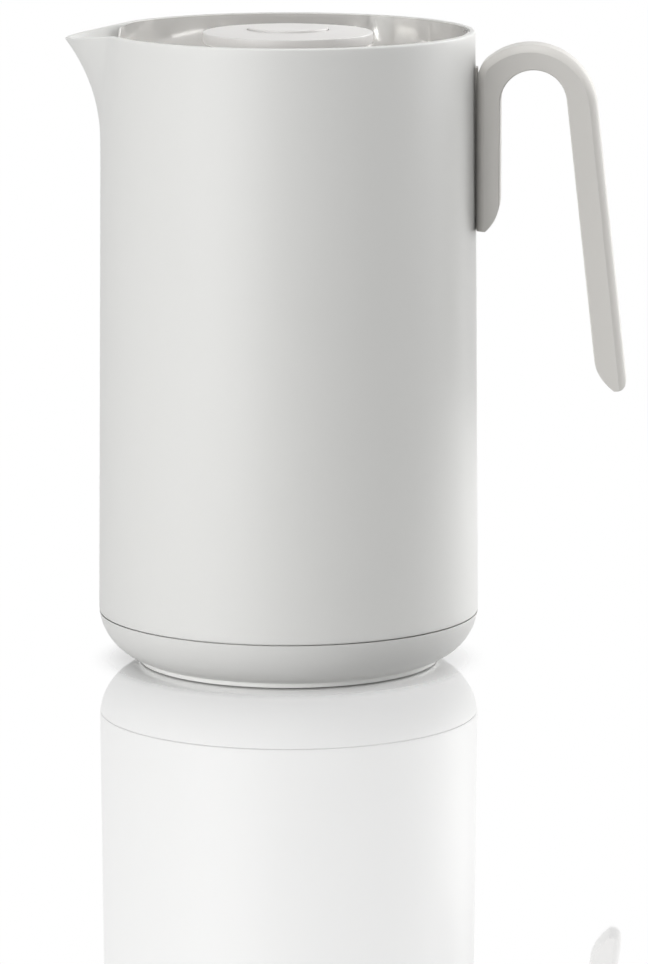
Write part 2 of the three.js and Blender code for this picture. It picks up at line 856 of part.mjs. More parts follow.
// Compression spring between the plug's web and the button.
function buttonSpring() {
  const foot = webTop + fitGap + springWire;
  const top = buttonUnderside - fitGap - springWire;
  const steps = springTurns * springStepsPerTurn;
  const points = [];
  const positions = [];
  const triangles = [];
  for (let step = 0; step <= steps; step++) {
    const turn = (2 * Math.PI * step) / springStepsPerTurn;
    const height = foot + ((top - foot) * step) / steps;
    points.push(new THREE.Vector3(springRadius * Math.cos(turn), springRadius * Math.sin(turn), height));
    for (let side = 0; side < springSides; side++) {
      const around = (2 * Math.PI * side) / springSides;
      const radius = springRadius + springWire * Math.cos(around);
      const rise = springWire * Math.sin(around);
      positions.push(radius * Math.cos(turn), radius * Math.sin(turn), height + rise);
    }
  }
  for (let step = 0; step < steps; step++) {
    for (let side = 0; side < springSides; side++) {
      const after = (side + 1) % springSides;
      const [a, d] = [step * springSides + side, step * springSides + after];
      const [b, c] = [a + springSides, d + springSides];
      triangles.push(a, b, c, a, c, d);
    }
  }
  for (let side = 1; side < springSides - 1; side++) {
    const last = steps * springSides;
    triangles.push(0, side, side + 1, last, last + side + 1, last + side);
  }
  console.log(`spring gap to itself ${springSelfGap(points).toFixed(2)} mm`);
  return geometryFrom(positions, triangles);
}

function finish(color, roughness, metalness = 0) {
  return new THREE.MeshStandardMaterial({ color, roughness, metalness });
}

const carafe = new THREE.Group();
carafe.name = 'thermal_carafe';

function add(name, geometry, material) {
  const closed = welded(geometry);
  closed.computeVertexNormals();
  const mesh = new THREE.Mesh(closed, material);
  mesh.name = name;
  carafe.add(mesh);
}

const bodyGrey = '#cdcdcb';
const handleGrey = '#c8c6c3';
const lidGrey = '#dedcd8';
const glossGrey = '#b2b0ac';
const softGrey = '#c4c3c0';
const silicone = '#e4e2dc';
const silvered = '#d4d7da';
const steel = '#b9bcc0';

add('outer_shell', outerShell(), finish(bodyGrey, 0.5));
add('pouring_collar', pouringCollar(), finish(glossGrey, 0.15));
add('neck_gasket', neckGasket(), finish(silicone, 0.7));
add('flask_inner_wall', flaskInnerWall(), finish(silvered, 0.06, 0.9));
add('flask_outer_wall', flaskOuterWall(), finish(silvered, 0.08, 0.9));
add('flask_cushion', flaskCushion(), finish(silicone, 0.8));
add('base_cap', baseCap(), finish(bodyGrey, 0.5));
add('base_seal', baseSeal(), finish(silicone, 0.7));
add('foot_pad', footPad(), finish(softGrey, 0.7));
add('handle', handle(), finish(handleGrey, 0.5));
add('handle_saddle', handleSaddle(), finish(handleGrey, 0.6));
add('handle_backplate', handleBackplate(), finish(steel, 0.35, 1));
add('handle_screw_upper', handleScrew(screwHeights[0]), finish(steel, 0.3, 1));
add('handle_screw_lower', handleScrew(screwHeights[1]), finish(steel, 0.3, 1));
add('stopper_body', stopperBody(), finish(lidGrey, 0.45));
add('stopper_gasket', stopperGasket(), finish(silicone, 0.7));
add('lid_cap', lidCap(), finish(lidGrey, 0.45));
add('press_button', pressButton(), finish(lidGrey, 0.45));
add('button_spring', buttonSpring(), finish(steel, 0.3, 1));
add('valve_stem', valveStem(), finish(steel, 0.25, 1));
add('valve_plate', valvePlate(), finish(lidGrey, 0.45));
add('valve_seal', valveSeal(), finish(silicone, 0.7));
add('valve_clip', valveClip(), finish(steel, 0.3, 1));

export default carafe;
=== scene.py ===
import json
import math

import bpy
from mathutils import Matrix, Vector


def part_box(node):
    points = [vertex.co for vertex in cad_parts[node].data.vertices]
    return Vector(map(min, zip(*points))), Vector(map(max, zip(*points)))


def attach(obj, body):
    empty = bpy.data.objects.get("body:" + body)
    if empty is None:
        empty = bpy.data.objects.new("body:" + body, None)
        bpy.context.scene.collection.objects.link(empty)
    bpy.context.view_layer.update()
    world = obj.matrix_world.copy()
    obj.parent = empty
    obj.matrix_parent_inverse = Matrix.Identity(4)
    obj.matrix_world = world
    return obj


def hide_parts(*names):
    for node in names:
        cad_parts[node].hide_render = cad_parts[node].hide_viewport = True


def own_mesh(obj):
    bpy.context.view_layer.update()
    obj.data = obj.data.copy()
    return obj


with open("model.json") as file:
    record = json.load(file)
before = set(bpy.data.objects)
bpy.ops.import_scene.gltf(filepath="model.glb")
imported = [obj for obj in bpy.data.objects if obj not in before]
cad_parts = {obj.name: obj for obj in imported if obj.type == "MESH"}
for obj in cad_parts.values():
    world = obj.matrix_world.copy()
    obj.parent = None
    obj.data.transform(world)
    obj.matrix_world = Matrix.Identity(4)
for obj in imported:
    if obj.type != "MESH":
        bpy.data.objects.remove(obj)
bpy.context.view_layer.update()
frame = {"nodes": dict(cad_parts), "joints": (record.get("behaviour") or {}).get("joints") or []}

bl_info = {
    "name": "Thermal carafe",
    "version": (1, 0, 0),
    "blender": (4, 5, 0),
    "location": "3D View > Sidebar > Carafe",
    "description": "Models the shell, stopper, flask and handle of a thermal carafe round its frame",
    "category": "Add Mesh",
}

MM = 0.001
FULL_TURN = 2 * math.pi
QUARTER = math.pi / 2
FIT_GAP = 0.3 * MM
SLIDE_GAP = 0.35 * MM
BORE_GAP = 0.4 * MM
WELD = 1e-6
ROUND_STEPS = 5
CURVE_STEPS = 24
BODY_SIDES = 360
RING_SIDES = 128
SMOOTH_ANGLE = math.radians(32)
SHARP_ANGLE = math.radians(40)
EASE_STEPS = 3
CORNER_STEPS = 8
HALVINGS = 24
COLUMN_DIGITS = 6
STEM_SIDES = 64
CLIP_SIDES = 72
WIRE_SIDES = 14
COIL_STEPS = 48

shell_low, shell_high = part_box("outer_shell")
cap_low, cap_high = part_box("base_cap")
foot_low, foot_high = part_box("foot_pad")
collar_low, collar_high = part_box("pouring_collar")
lid_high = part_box("lid_cap")[1]
button_low, button_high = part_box("press_button")
plug_low, plug_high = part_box("stopper_body")
handle_low, handle_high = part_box("handle")
saddle_low, saddle_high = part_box("handle_saddle")
spring_low, spring_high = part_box("button_spring")


def linear(red, green, blue):
    """A screen colour of 0 to 255 as the linear colour that a shader takes."""
    shares = (red / 255, green / 255, blue / 255)
    return tuple(s / 12.92 if s <= 0.04045 else ((s + 0.055) / 1.055) ** 2.4 for s in shares)


def length(label, note, default):
    """A setting for a length, with its default in millimetres."""
    return bpy.props.FloatProperty(
        name=label, description=note, default=default * MM, subtype="DISTANCE", unit="LENGTH", precision=5
    )


def turn(label, note, degrees):
    """A setting for an angle, with its default in degrees."""
    return bpy.props.FloatProperty(
        name=label, description=note, default=math.radians(degrees), subtype="ANGLE", unit="ROTATION"
    )


def share(label, note, default):
    """A setting between 0 and 1."""
    return bpy.props.FloatProperty(name=label, description=note, default=default, min=0.0, max=1.0)


def count(label, note, default):
    """A setting for a number of things."""
    return bpy.props.IntProperty(name=label, description=note, default=default, min=1)


def tint(label, note, default):
    """A setting for a linear colour."""
    return bpy.props.FloatVectorProperty(
        name=label, description=note, default=default, size=3, subtype="COLOR", min=0.0, max=1.0
    )


class CarafeBody(bpy.types.PropertyGroup):
    """Sizes of the shell, base and bowl."""

    radius: length("Body radius", "Radius where the wall meets the rounded base", 71.0)
    taper: share("Taper", "How much the radius shrinks per unit of height", 0.0088)
    wall: length("Wall", "Thickness of the shell", 1.6)
    rim_wall: length("Rim wall", "Thickness of the shell at its rim", 2.0)
    rim_round: length("Rim round", "Rounding of the rim's outer edge", 0.8)
    rim_ease: length("Rim ease", "Rounding of the rim's inner edge", 0.06)
    seam_gap: length("Seam gap", "Height of the groove between shell and base", 0.6)
    seam_round: length("Seam round", "Rounding of the edges at the seam", 0.2)
    base_round: length("Base round", "Radius of the rounded bottom edge", 20.0)
    base_sweep: turn("Base sweep", "How far that edge turns under the body", 75.5)
    spout_height: length("Spout height", "Length of wall that the spout bends outwards", 43.0)
    spout_bend: length("Spout bend", "Radius of the spout's outward bend", 64.4)
    spout_half: turn("Spout half angle", "Half the spout's spread at the rim", 25.0)
    spout_root: share("Spout root", "Spread of the spout at its root against the rim", 0.5)
    spout_dip: turn("Spout dip", "Half the spread of the dip in the spout's edge", 27.0)


class CarafeLid(bpy.types.PropertyGroup):
    """Sizes of the stopper's disc and button."""

    edge_round: length("Lid edge round", "Rounding of the disc's upper edge", 0.45)
    foot_round: length("Lid foot round", "Rounding of the disc's lower edge", 1.6)
    height: length("Lid height", "Height of the disc's outer face", 4.5)
    crown: length("Lid crown", "Rise of the disc towards its middle", 0.9)
    button_round: length("Button round", "Rounding of the button's edge", 0.35)
    plug_inner: length("Plug bore", "Inside radius of the stopper's plug", 20.5)


class CarafeHandle(bpy.types.PropertyGroup):
    """Sizes of the hooked handle."""

    back_round: length("Outer edge round", "Rounding along the outside of the hook", 2.7)
    back_fullness: share("Outer edge fullness", "0.5 is a round edge and 0.25 a flat one", 0.33)
    back_seat: length("Back seat", "How far the back is drawn in towards the body", 1.0)
    palm_round: length("Inner edge round", "Rounding along the inside of the hook", 0.4)
    arch_outer: length("Arch outer radius", "Outside radius of the arch", 24.8)
    arch_drop: length("Arch drop", "How far the outside's centre lies below the inside's", 3.25)
    back_cut: length("Back cut", "How much of the outside's circle the back cuts off", 6.4)
    arch_inner: length("Arch inner radius", "Inside radius of the arch", 12.3)
    leg: length("Leg thickness", "Thickness of the leg at the body", 7.5)
    leg_length: length("Leg length", "Length of that leg below the arch", 47.65)
    slant: turn("Free leg slant", "Slant of the free leg from upright", 6.4)


class CarafeColours(bpy.types.PropertyGroup):
    """Colours of the finishes."""

    body: tint("Body", "Satin plastic of shell and base", linear(208, 208, 206))
    handle: tint("Handle", "Satin plastic of the handle", linear(204, 202, 198))
    lid: tint("Lid", "Plastic of the disc and button", linear(210, 208, 206))
    bowl: tint("Bowl", "Glossy plastic of the bowl", linear(227, 226, 224))
    rubber: tint("Rubber", "Pad under the foot", linear(200, 199, 196))
    silicone: tint("Silicone", "Gaskets and seals", linear(226, 224, 218))
    silver: tint("Silvering", "Mirror coat of the flask", linear(222, 224, 227))
    steel: tint("Steel", "Spring, stem and screws", linear(190, 192, 196))


class CarafeStage(bpy.types.PropertyGroup):
    """Camera and light."""

    distance: length("Camera distance", "From the point that the camera aims at", 2184.2)
    azimuth: turn("Camera azimuth", "Turn of the camera about the carafe", 4.0)
    elevation: turn("Camera elevation", "Height of the camera above the horizon", 10.07)
    aim_side: length("Aim to the side", "Aim point right of the axis", 13.25)
    aim_height: length("Aim height", "Aim point above the floor", 67.17)
    lens: bpy.props.FloatProperty(
        name="Lens", description="Focal length in mm", default=218.16, unit="CAMERA"
    )
    ambient: share("Ambient", "Light of the surroundings", 0.01)
    bounce: share("Bounce", "Light that the white floor gives back", 0.1)


def settings():
    """The carafe's settings in the scene."""
    return bpy.context.scene.carafe


class CarafeSettings(bpy.types.PropertyGroup):
    """All settings of the carafe."""

    body: bpy.props.PointerProperty(type=CarafeBody)
    lid: bpy.props.PointerProperty(type=CarafeLid)
    handle: bpy.props.PointerProperty(type=CarafeHandle)
    colours: bpy.props.PointerProperty(type=CarafeColours)
    stage: bpy.props.PointerProperty(type=CarafeStage)


def arc(centre, radius, start, end, steps=ROUND_STEPS):
    """Points of an arc in a profile or outline, from one angle to another."""
    points = []
    for step in range(steps + 1):
        angle = start + (end - start) * step / steps
        points.append((centre[0] + radius * math.cos(angle), centre[1] + radius * math.sin(angle)))
    return points


def sweep(start, control, end, steps=CURVE_STEPS):
    """Points of a quadratic curve."""
    points = []
    for step in range(steps + 1):
        t = step / steps
        weights = ((1 - t) ** 2, 2 * t * (1 - t), t**2)
        points.append(tuple(sum(w * p[i] for w, p in zip(weights, (start, control, end))) for i in (0, 1)))
    return points


def eased(points, radius, steps=EASE_STEPS, most=0.45):
    """A closed outline with every corner rounded, over no more than a share of each of its sides."""
    rounded = []
    for index, corner in enumerate(points):
        here = Vector(corner)
        before = Vector(points[index - 1]) - here
        after = Vector(points[(index + 1) % len(points)]) - here
        reach = min(radius, most * before.length, most * after.length)
        start = here + before.normalized() * reach
        end = here + after.normalized() * reach
        rounded += sweep(start, here, end, steps)
    return rounded


def rectangle(left, right, low, high):
    """Corners of an upright rectangle, in order."""
    return [(left, low), (right, low), (right, high), (left, high)]


def rungs(low, high, number):
    """Evenly spaced heights between two, without the ends."""
    return [low + (high - low) * step / (number + 1) for step in range(1, number + 1)]


def deselect():
    """Leaves no object selected."""
    bpy.ops.object.select_all(action="DESELECT")


def only(*pieces):
    """Selects these pieces alone and makes the first one active."""
    deselect()
    for piece in pieces:
        piece.select_set(True)
    bpy.context.view_layer.objects.active = pieces[0]


def added(name):
    """The object that was just added, under its name."""
    piece = bpy.context.object
    piece.name = name
    piece.data.name = name
    return piece


def start_piece(name):
    """A new mesh object that holds one vertex at the origin, in edit mode."""
    deselect()
    bpy.ops.mesh.primitive_plane_add(size=MM, location=(0, 0, 0))
    piece = added(name)
    bpy.ops.object.mode_set(mode="EDIT")
    bpy.ops.mesh.merge(type="CENTER")
    return piece


def draw(points):
    """Extrudes the selected vertex along a chain of points."""
    place = Vector((0, 0, 0))
    for index, point in enumerate(points):
        step = Vector(point) - place
        place = Vector(point)
        if index == 0:
            bpy.ops.transform.translate(value=step)
        else:
            bpy.ops.mesh.extrude_region_move(TRANSFORM_OT_translate={"value": step})
    bpy.ops.mesh.select_all(action="SELECT")


def weld():
    """Joins the selected vertices of the mesh that is being edited where they meet."""
    bpy.ops.mesh.remove_doubles(threshold=WELD)


def fill():
    """Welds a drawn chain to a loop and fills it with a face."""
    weld()
    bpy.ops.mesh.edge_face_add()


def close_mesh():
    """Welds the mesh that is being edited, turns its faces outwards and leaves edit mode."""
    bpy.ops.mesh.select_all(action="SELECT")
    weld()
    bpy.ops.mesh.normals_make_consistent(inside=False)
    bpy.ops.object.mode_set(mode="OBJECT")


def turned(name, profile, sides=RING_SIDES, angle=FULL_TURN):
    """A turned piece: a profile of (radius, height) points spun about the upright axis."""
    piece = start_piece(name)
    draw([(radius, 0, height) for radius, height in profile])
    if angle < FULL_TURN:
        fill()
    bpy.ops.mesh.spin(steps=sides, angle=angle, center=(0, 0, 0), axis=(0, 0, 1))
    close_mesh()
    return piece


def ring(name, loop, sides=RING_SIDES):
    """A turned ring from a closed loop of (radius, height) points."""
    return turned(name, [*loop, loop[0]], sides)


def prism(name, points, step):
    """A closed outline, filled and drawn out by a step."""
    piece = start_piece(name)
    draw(points)
    fill()
    bpy.ops.mesh.extrude_region_move(TRANSFORM_OT_translate={"value": step})
    close_mesh()
    return piece


def cut_strip(name, outline, low, high):
    """An outline in X and Z, drawn out along Y from low to high."""
    return prism(name, [(x, low, z) for x, z in outline], (0, high - low, 0))


def modify(piece, kind, **options):
    """Adds a modifier to a piece, sets its options and applies it."""
    modifier = piece.modifiers.new(kind.title(), kind)
    for name, value in options.items():
        setattr(modifier, name, value)
    only(piece)
    bpy.ops.object.modifier_apply(modifier=modifier.name)


def carve(piece, tools):
    """Cuts tools out of a piece and deletes them."""
    for tool in tools:
        modify(piece, "BOOLEAN", operation="DIFFERENCE", solver="EXACT", object=tool)
        bpy.data.objects.remove(tool)


def fit(piece, body, slot, material, *nodes, angle=SMOOTH_ANGLE):
    """Smooths a finished piece, gives it its finish and sets it in place of its CAD nodes."""
    only(piece)
    bpy.ops.object.shade_smooth_by_angle(angle=angle)
    piece.data.materials.clear()
    piece.data.materials.append(material)
    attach(piece, body)
    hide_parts(*nodes)


def spout_share(angle, spread):
    """Share of the spout's bend at an angle from its centre line, for half its spread."""
    if abs(angle) >= spread:
        return 0.0
    return math.cos(angle / spread * QUARTER) ** 2


class Wall:
    """The body's outer wall: its taper, the rounded base and the spout that is bent out of it."""

    def __init__(self):
        body = settings().body
        self.body = body
        self.centre = body.radius - body.base_round
        self.foot_radius = self.centre + body.base_round * math.cos(body.base_sweep)
        self.curve_top = foot_high.z + FIT_GAP + body.base_round * math.sin(body.base_sweep)
        self.root = shell_high.z - body.spout_height

    def radius(self, height):
        """Radius of the plain wall at a height, before the spout is bent out of it."""
        return self.body.radius - self.body.taper * (height - self.curve_top)

    def bore(self, height):
        """Inside radius of the shell above the spout's root, where it thickens towards the rim."""
        climb = (height - self.root) / self.body.spout_height
        thicker = (self.body.rim_wall - self.body.wall) * climb
        return self.radius(height) - self.body.wall - thicker

    def base_radius(self, height):
        """Outer radius of the rounded base at a height below the start of its curve."""
        return self.centre + math.sqrt(self.body.base_round**2 - (self.curve_top - height) ** 2)

    def bend(self, radius, height, angle, limit=math.inf):
        """Where the spout's bend carries a point of the wall, which goes straight up above a limit."""
        climb = height - self.root
        if climb <= 0:
            return radius, height
        body = self.body
        bent = min(height, limit) - self.root
        widening = (1 - body.spout_root) * bent / body.spout_height
        spread = body.spout_half * (body.spout_root + widening)
        out = spout_share(angle, spread) * body.spout_bend * (1 - math.cos(bent / body.spout_bend))
        fall = climb - body.spout_bend * math.sin(climb / body.spout_bend)
        return radius + out, height - spout_share(angle, body.spout_dip) * fall

    def bend_piece(self, piece, edge_height=None, limit=math.inf):
        """Moves the points of a turned wall by its own edge and then by the spout's bend."""
        for vertex in piece.data.vertices:
            radius = math.hypot(vertex.co.x, vertex.co.y)
            angle = math.atan2(vertex.co.y, -vertex.co.x)
            height = edge_height(radius, vertex.co.z, angle) if edge_height else vertex.co.z
            radius, height = self.bend(radius, height, angle, limit)
            vertex.co = (-radius * math.cos(angle), radius * math.sin(angle), height)
        piece.data.update()


class CARAFE_OT_shell(bpy.types.Operator):
    """Model the shell with its rounded rim and bent spout"""

    bl_idname = "carafe.shell"
    bl_label = "Shell"

    def execute(self, context):
        body = settings().body
        wall = Wall()
        top = shell_high.z
        foot = shell_low.z
        root = wall.root
        outer = wall.radius(top)
        inner = outer - body.rim_wall
        edge = body.rim_round
        ease = body.rim_ease
        seam = body.seam_round
        foot_radius = wall.base_radius(foot)
        climb = rungs(root, top - edge, CURVE_STEPS)
        piece = ring("shell", [
            (foot_radius - body.wall, foot),
            *arc((foot_radius - seam, foot + seam), seam, -QUARTER, 0),
            *[(wall.base_radius(h), h) for h in rungs(foot + seam, wall.curve_top, EASE_STEPS)],
            (wall.radius(wall.curve_top), wall.curve_top),
            (wall.radius(root), root),
            *[(wall.radius(h), h) for h in climb],
            *arc((outer - edge, top - edge), edge, 0, QUARTER),
            *arc((inner + ease, top - ease), ease, QUARTER, math.pi),
            *[(wall.bore(h), h) for h in reversed(climb)],
            (wall.radius(root) - body.wall, root),
            (wall.radius(wall.curve_top) - body.wall, wall.curve_top),
        ], BODY_SIDES)
        wall.bend_piece(piece)
        finish = satin_plastic("shell_satin", settings().colours.body, BODY_GLOSS)
        fit(piece, "carafe", "body_plastic", finish, "outer_shell")
        return {"FINISHED"}


class CARAFE_OT_base(bpy.types.Operator):
    """Model the rounded base with its foot ring, and the soft pad in that ring"""

    bl_idname = "carafe.base"
    bl_label = "Base and foot"

    wall: length("Base wall", "Thickness of the base", 2.2)
    joint_wall: length("Joint wall", "Thickness of the ring inside the shell", 3.0)
    groove: length("Groove", "Depth of the seal's groove", 1.7)
    groove_half: length("Groove half", "Half the height of the seal's groove", 1.05)
    foot_ring: length("Foot ring", "Width of the ring round the pad", 2.6)
    fillet: length("Fillet", "Hollow between the rounded edge and the foot ring", 1.0)
    foot_edge: length("Foot edge", "Rounding of the foot ring's lower edge", 0.25)
    pad_round: length("Pad round", "Rounding of the pad's lower edge", 0.6)

    def execute(self, context):
        colours = settings().colours
        base = turned("base", self.base_profile(settings().body, Wall()), BODY_SIDES)
        finish = satin_plastic("base_satin", colours.body, BODY_GLOSS)
        fit(base, "carafe", "body_plastic", finish, "base_cap")
        radius = foot_high.x
        pad = turned("foot", [
            (0, foot_low.z),
            *arc((radius - self.pad_round, foot_low.z + self.pad_round), self.pad_round, -QUARTER, 0),
            (radius, foot_high.z),
            (0, foot_high.z),
        ])
        fit(pad, "carafe", "foot_rubber", soft_rubber("foot_soft", colours.rubber), "foot_pad")
        return {"FINISHED"}

    def base_profile(self, body, wall):
        """Half section of the base, from the axis round its outside and back along its inside."""
        seam = body.seam_round
        top = shell_low.z - body.seam_gap
        centre = (wall.centre, wall.curve_top)
        ceiling = foot_high.z + FIT_GAP
        floor = ceiling + self.wall
        foot = wall.foot_radius
        bore = foot - self.foot_ring
        hollow = foot + self.fillet - wall.centre
        hollow_drop = math.sqrt((body.base_round + self.fillet) ** 2 - hollow**2)
        hollow_centre = (wall.centre + hollow, wall.curve_top - hollow_drop)
        start = -math.atan2(hollow_drop, hollow)
        end = -math.asin((wall.curve_top - top - seam) / body.base_round)
        joint = min(wall.base_radius(shell_low.z), wall.radius(cap_high.z)) - body.wall - BORE_GAP
        joint_inner = joint - self.joint_wall
        inner_round = body.base_round - self.wall
        inner_start = -math.acos((joint_inner - wall.centre) / inner_round)
        inner_end = -math.asin((wall.curve_top - floor) / inner_round)
        middle = (top + cap_high.z) / 2
        groove_foot = middle - self.groove_half
        groove_top = middle + self.groove_half
        return [
            (0, ceiling),
            (bore, ceiling),
            (bore, cap_low.z),
            *arc((foot - self.foot_edge, cap_low.z + self.foot_edge), self.foot_edge, -QUARTER, 0),
            *arc(hollow_centre, self.fillet, math.pi, math.pi + start),
            *arc(centre, body.base_round, start, end, CURVE_STEPS),
            *arc((wall.base_radius(top) - seam, top - seam), seam, 0, QUARTER)[1:],
            (joint, top),
            (joint, groove_foot),
            (joint - self.groove, groove_foot),
            (joint - self.groove, groove_top),
            (joint, groove_top),
            (joint, cap_high.z),
            (joint_inner, cap_high.z),
            *arc(centre, inner_round, inner_start, inner_end, CURVE_STEPS),
            (0, floor),
        ]


class CARAFE_OT_bowl(bpy.types.Operator):
    """Model the pouring bowl with its notch at the spout"""

    bl_idname = "carafe.bowl"
    bl_label = "Bowl"

    wall: length("Bowl wall", "Thickness of the bowl's wall", 0.8)
    seat_gap: length("Seat gap", "Gap between the bowl and the shell", 0.03)
    lip: length("Lip", "Height of the bowl's upper edge, which keeps its form in the notch", 1.0)
    lip_fall: length("Lip fall", "How far the bowl's upper edge falls towards the shell", 0.4)
    easing: length("Easing", "Rounding of the edge above the neck", 0.3)
    depth: length("Bowl depth", "Depth of the bowl below the rim", 24.7)
    floor: length("Floor", "Thickness of the bowl's floor", 3.5)
    rise: length("Floor rise", "Rise of the floor towards the wall", 4.0)
    corner: length("Corner", "Rounding between floor and wall", 4.0)
    neck: length("Neck", "Radius of the tube into the flask", 24.5)
    neck_wall: length("Neck wall", "Thickness of that tube", 3.2)
    rest: length("Rest", "Width of the flat that the stopper rests on", 6.0)
    notch_top: length("Notch top", "Half width of the notch at the rim", 19.8)
    notch_foot: length("Notch foot", "Half width of the notch at its foot", 15.0)
    notch_depth: length("Notch depth", "Depth of the notch below the rim", 16.5)

    def execute(self, context):
        self.place()
        piece = ring("bowl", self.section(), BODY_SIDES)
        self.shell.bend_piece(piece, self.notched, self.notch_floor)
        finish = polished_plastic("bowl_gloss", settings().colours.bowl)
        fit(piece, "carafe", "gloss_liner", finish, "pouring_collar")
        return {"FINISHED"}

    def place(self):
        """Works out the radii and heights that the bowl is drawn with."""
        rim = shell_high.z
        self.shell = Wall()
        self.outer = self.shell.bore(rim) - self.seat_gap
        self.inner = self.outer - self.wall
        self.rest_height = rim - self.depth
        self.edge = self.rest_height + self.rise
        self.lip_foot = collar_high.z - self.lip
        self.notch_floor = rim - self.notch_depth
        self.edges = {}

    def section(self):
        """Half section of the bowl, up its outside and down its inside."""
        neck_outer = self.neck + self.neck_wall
        rest_radius = self.neck + self.rest
        under = self.rest_height - self.floor
        rise_top = under + self.rise
        wall_foot = self.edge + self.corner
        easing = self.easing
        return [
            (self.neck, collar_low.z),
            (neck_outer, collar_low.z),
            (neck_outer, under),
            (rest_radius, under),
            (self.outer, rise_top),
            *[(self.outer, h) for h in rungs(rise_top, self.lip_foot, CURVE_STEPS)],
            (self.outer, self.lip_foot),
            (self.outer, collar_high.z - self.lip_fall),
            (self.inner, collar_high.z),
            (self.inner, self.lip_foot),
            *[(self.inner, h) for h in rungs(self.lip_foot, wall_foot, CURVE_STEPS)],
            *arc((self.inner - self.corner, wall_foot), self.corner, 0, -QUARTER, CORNER_STEPS),
            (rest_radius, self.rest_height),
            *arc((self.neck + easing, self.rest_height - easing), easing, QUARTER, math.pi),
        ]

    def in_notch(self, height, angle):
        """Whether a point on the inside of the wall lies in the notch."""
        reach, level = self.shell.bend(self.inner, height, angle, self.notch_floor)
        slope = (self.notch_top - self.notch_foot) / self.notch_depth
        half = self.notch_foot + slope * (level - self.notch_floor)
        return math.cos(angle) > 0 and abs(reach * math.sin(angle)) < half

    def edge_height(self, angle):
        """Height of the wall's upper edge at an angle, found by halving where the notch cuts it."""
        low, high = self.edge, collar_high.z
        if not self.in_notch(high, angle):
            return high
        for _ in range(HALVINGS):
            middle = (low + high) / 2
            if self.in_notch(middle, angle):
                high = middle
            else:
                low = middle
        return max(low, self.notch_floor)

    def notched(self, radius, height, angle):
        """Height of a point of the bowl after the notch has lowered the wall's edge."""
        if height < self.edge or radius < self.inner - self.corner:
            return height
        column = round(angle, COLUMN_DIGITS)
        if column not in self.edges:
            self.edges[column] = self.edge_height(column)
        fall = collar_high.z - self.edges[column]
        if height > self.lip_foot - WELD:
            return height - fall
        return height - fall * (height - self.edge) / (self.lip_foot - self.edge)


class CARAFE_OT_lid(bpy.types.Operator):
    """Model the stopper's disc and its press button"""

    bl_idname = "carafe.lid"
    bl_label = "Lid and button"

    plate: length("Plate", "Thickness of the disc", 2.5)
    edge_wall: length("Edge wall", "Thickness of the disc's rim", 2.0)
    sleeve: length("Sleeve", "Length of the button's sleeve", 6.4)
    sleeve_wall: length("Sleeve wall", "Thickness of the sleeve", 1.5)
    skirt: length("Skirt", "Length of the ring that snaps into the plug", 6.9)
    skirt_wall: length("Skirt wall", "Thickness of that ring", 1.6)
    groove_round: length("Groove round", "Rounding of the disc at the button's groove", 0.35)
    dish: length("Button dish", "Depth of the hollow that takes the thumb", 0.35)
    button_deck: length("Button deck", "Thickness of the button's top", 2.4)
    button_wall: length("Button wall", "Thickness of the button's side", 1.6)
    button_height: length("Button height", "Height of the button's side", 8.0)
    boss: length("Boss", "Radius of the boss under the button", 6.0)
    stem_bore: length("Stem bore", "Radius of the boss's bore for the stem", 3.3)
    stem_stop: length("Stem stop", "Gap between the end of that bore and the button's top", 1.0)

    def execute(self, context):
        finish = lid_plastic("lid_satin", settings().colours.lid)
        disc = ring("lid_disc", self.disc_section(settings().lid), BODY_SIDES)
        fit(disc, "lid", "lid_plastic", finish, "lid_cap")
        button = turned("button", self.button_profile(settings().lid.button_round))
        fit(button, "pour_valve", "lid_plastic", finish, "press_button")
        return {"FINISHED"}

    def disc_section(self, lid):
        """Half section of the disc with its skirt and the button's sleeve."""
        hole = button_high.x + SLIDE_GAP
        sleeve = hole + self.sleeve_wall
        radius = lid_high.x
        crown = lid_high.z
        rim = crown - lid.crown
        under = rim - self.plate
        skirt_outer = lid.plug_inner - FIT_GAP
        skirt_inner = skirt_outer - self.skirt_wall
        disc_foot = rim - lid.height
        groove = self.groove_round
        slope_start = radius - lid.edge_round
        slope = []
        for step in range(1, CURVE_STEPS):
            across = step / CURVE_STEPS
            at = slope_start + (hole + groove - slope_start) * across
            slope.append((at, rim + lid.crown * math.sin(across * QUARTER)))
        return [
            (hole, under - self.sleeve),
            (sleeve, under - self.sleeve),
            (sleeve, under),
            (skirt_inner, under),
            (skirt_inner, under - self.skirt),
            (skirt_outer, under - self.skirt),
            (skirt_outer, under),
            (radius - self.edge_wall, under),
            (radius - self.edge_wall, disc_foot),
            *arc((radius - lid.foot_round, disc_foot + lid.foot_round), lid.foot_round, -QUARTER, 0),
            *arc((slope_start, rim - lid.edge_round), lid.edge_round, 0, QUARTER),
            *slope,
            *arc((hole + groove, crown - groove), groove, QUARTER, math.pi),
        ]

    def button_profile(self, edge):
        """Half section of the button, from the end of its bore round its side to its dished top."""
        radius = button_high.x
        top = button_high.z
        under = top - self.button_deck
        inner = radius - self.button_wall
        foot = top - self.button_height
        face = radius - edge
        hollow = [face * (1 - step / CURVE_STEPS) for step in range(1, CURVE_STEPS)]
        return [
            (0, under - self.stem_stop),
            (self.stem_bore, under - self.stem_stop),
            (self.stem_bore, button_low.z),
            (self.boss, button_low.z),
            (self.boss, under),
            (inner, under),
            (inner, foot),
            (radius, foot),
            *arc((face, top - edge), edge, 0, QUARTER),
            *[(r, top - self.dish * math.cos(r / face * QUARTER) ** 2) for r in hollow],
            (0, top - self.dish),
        ]


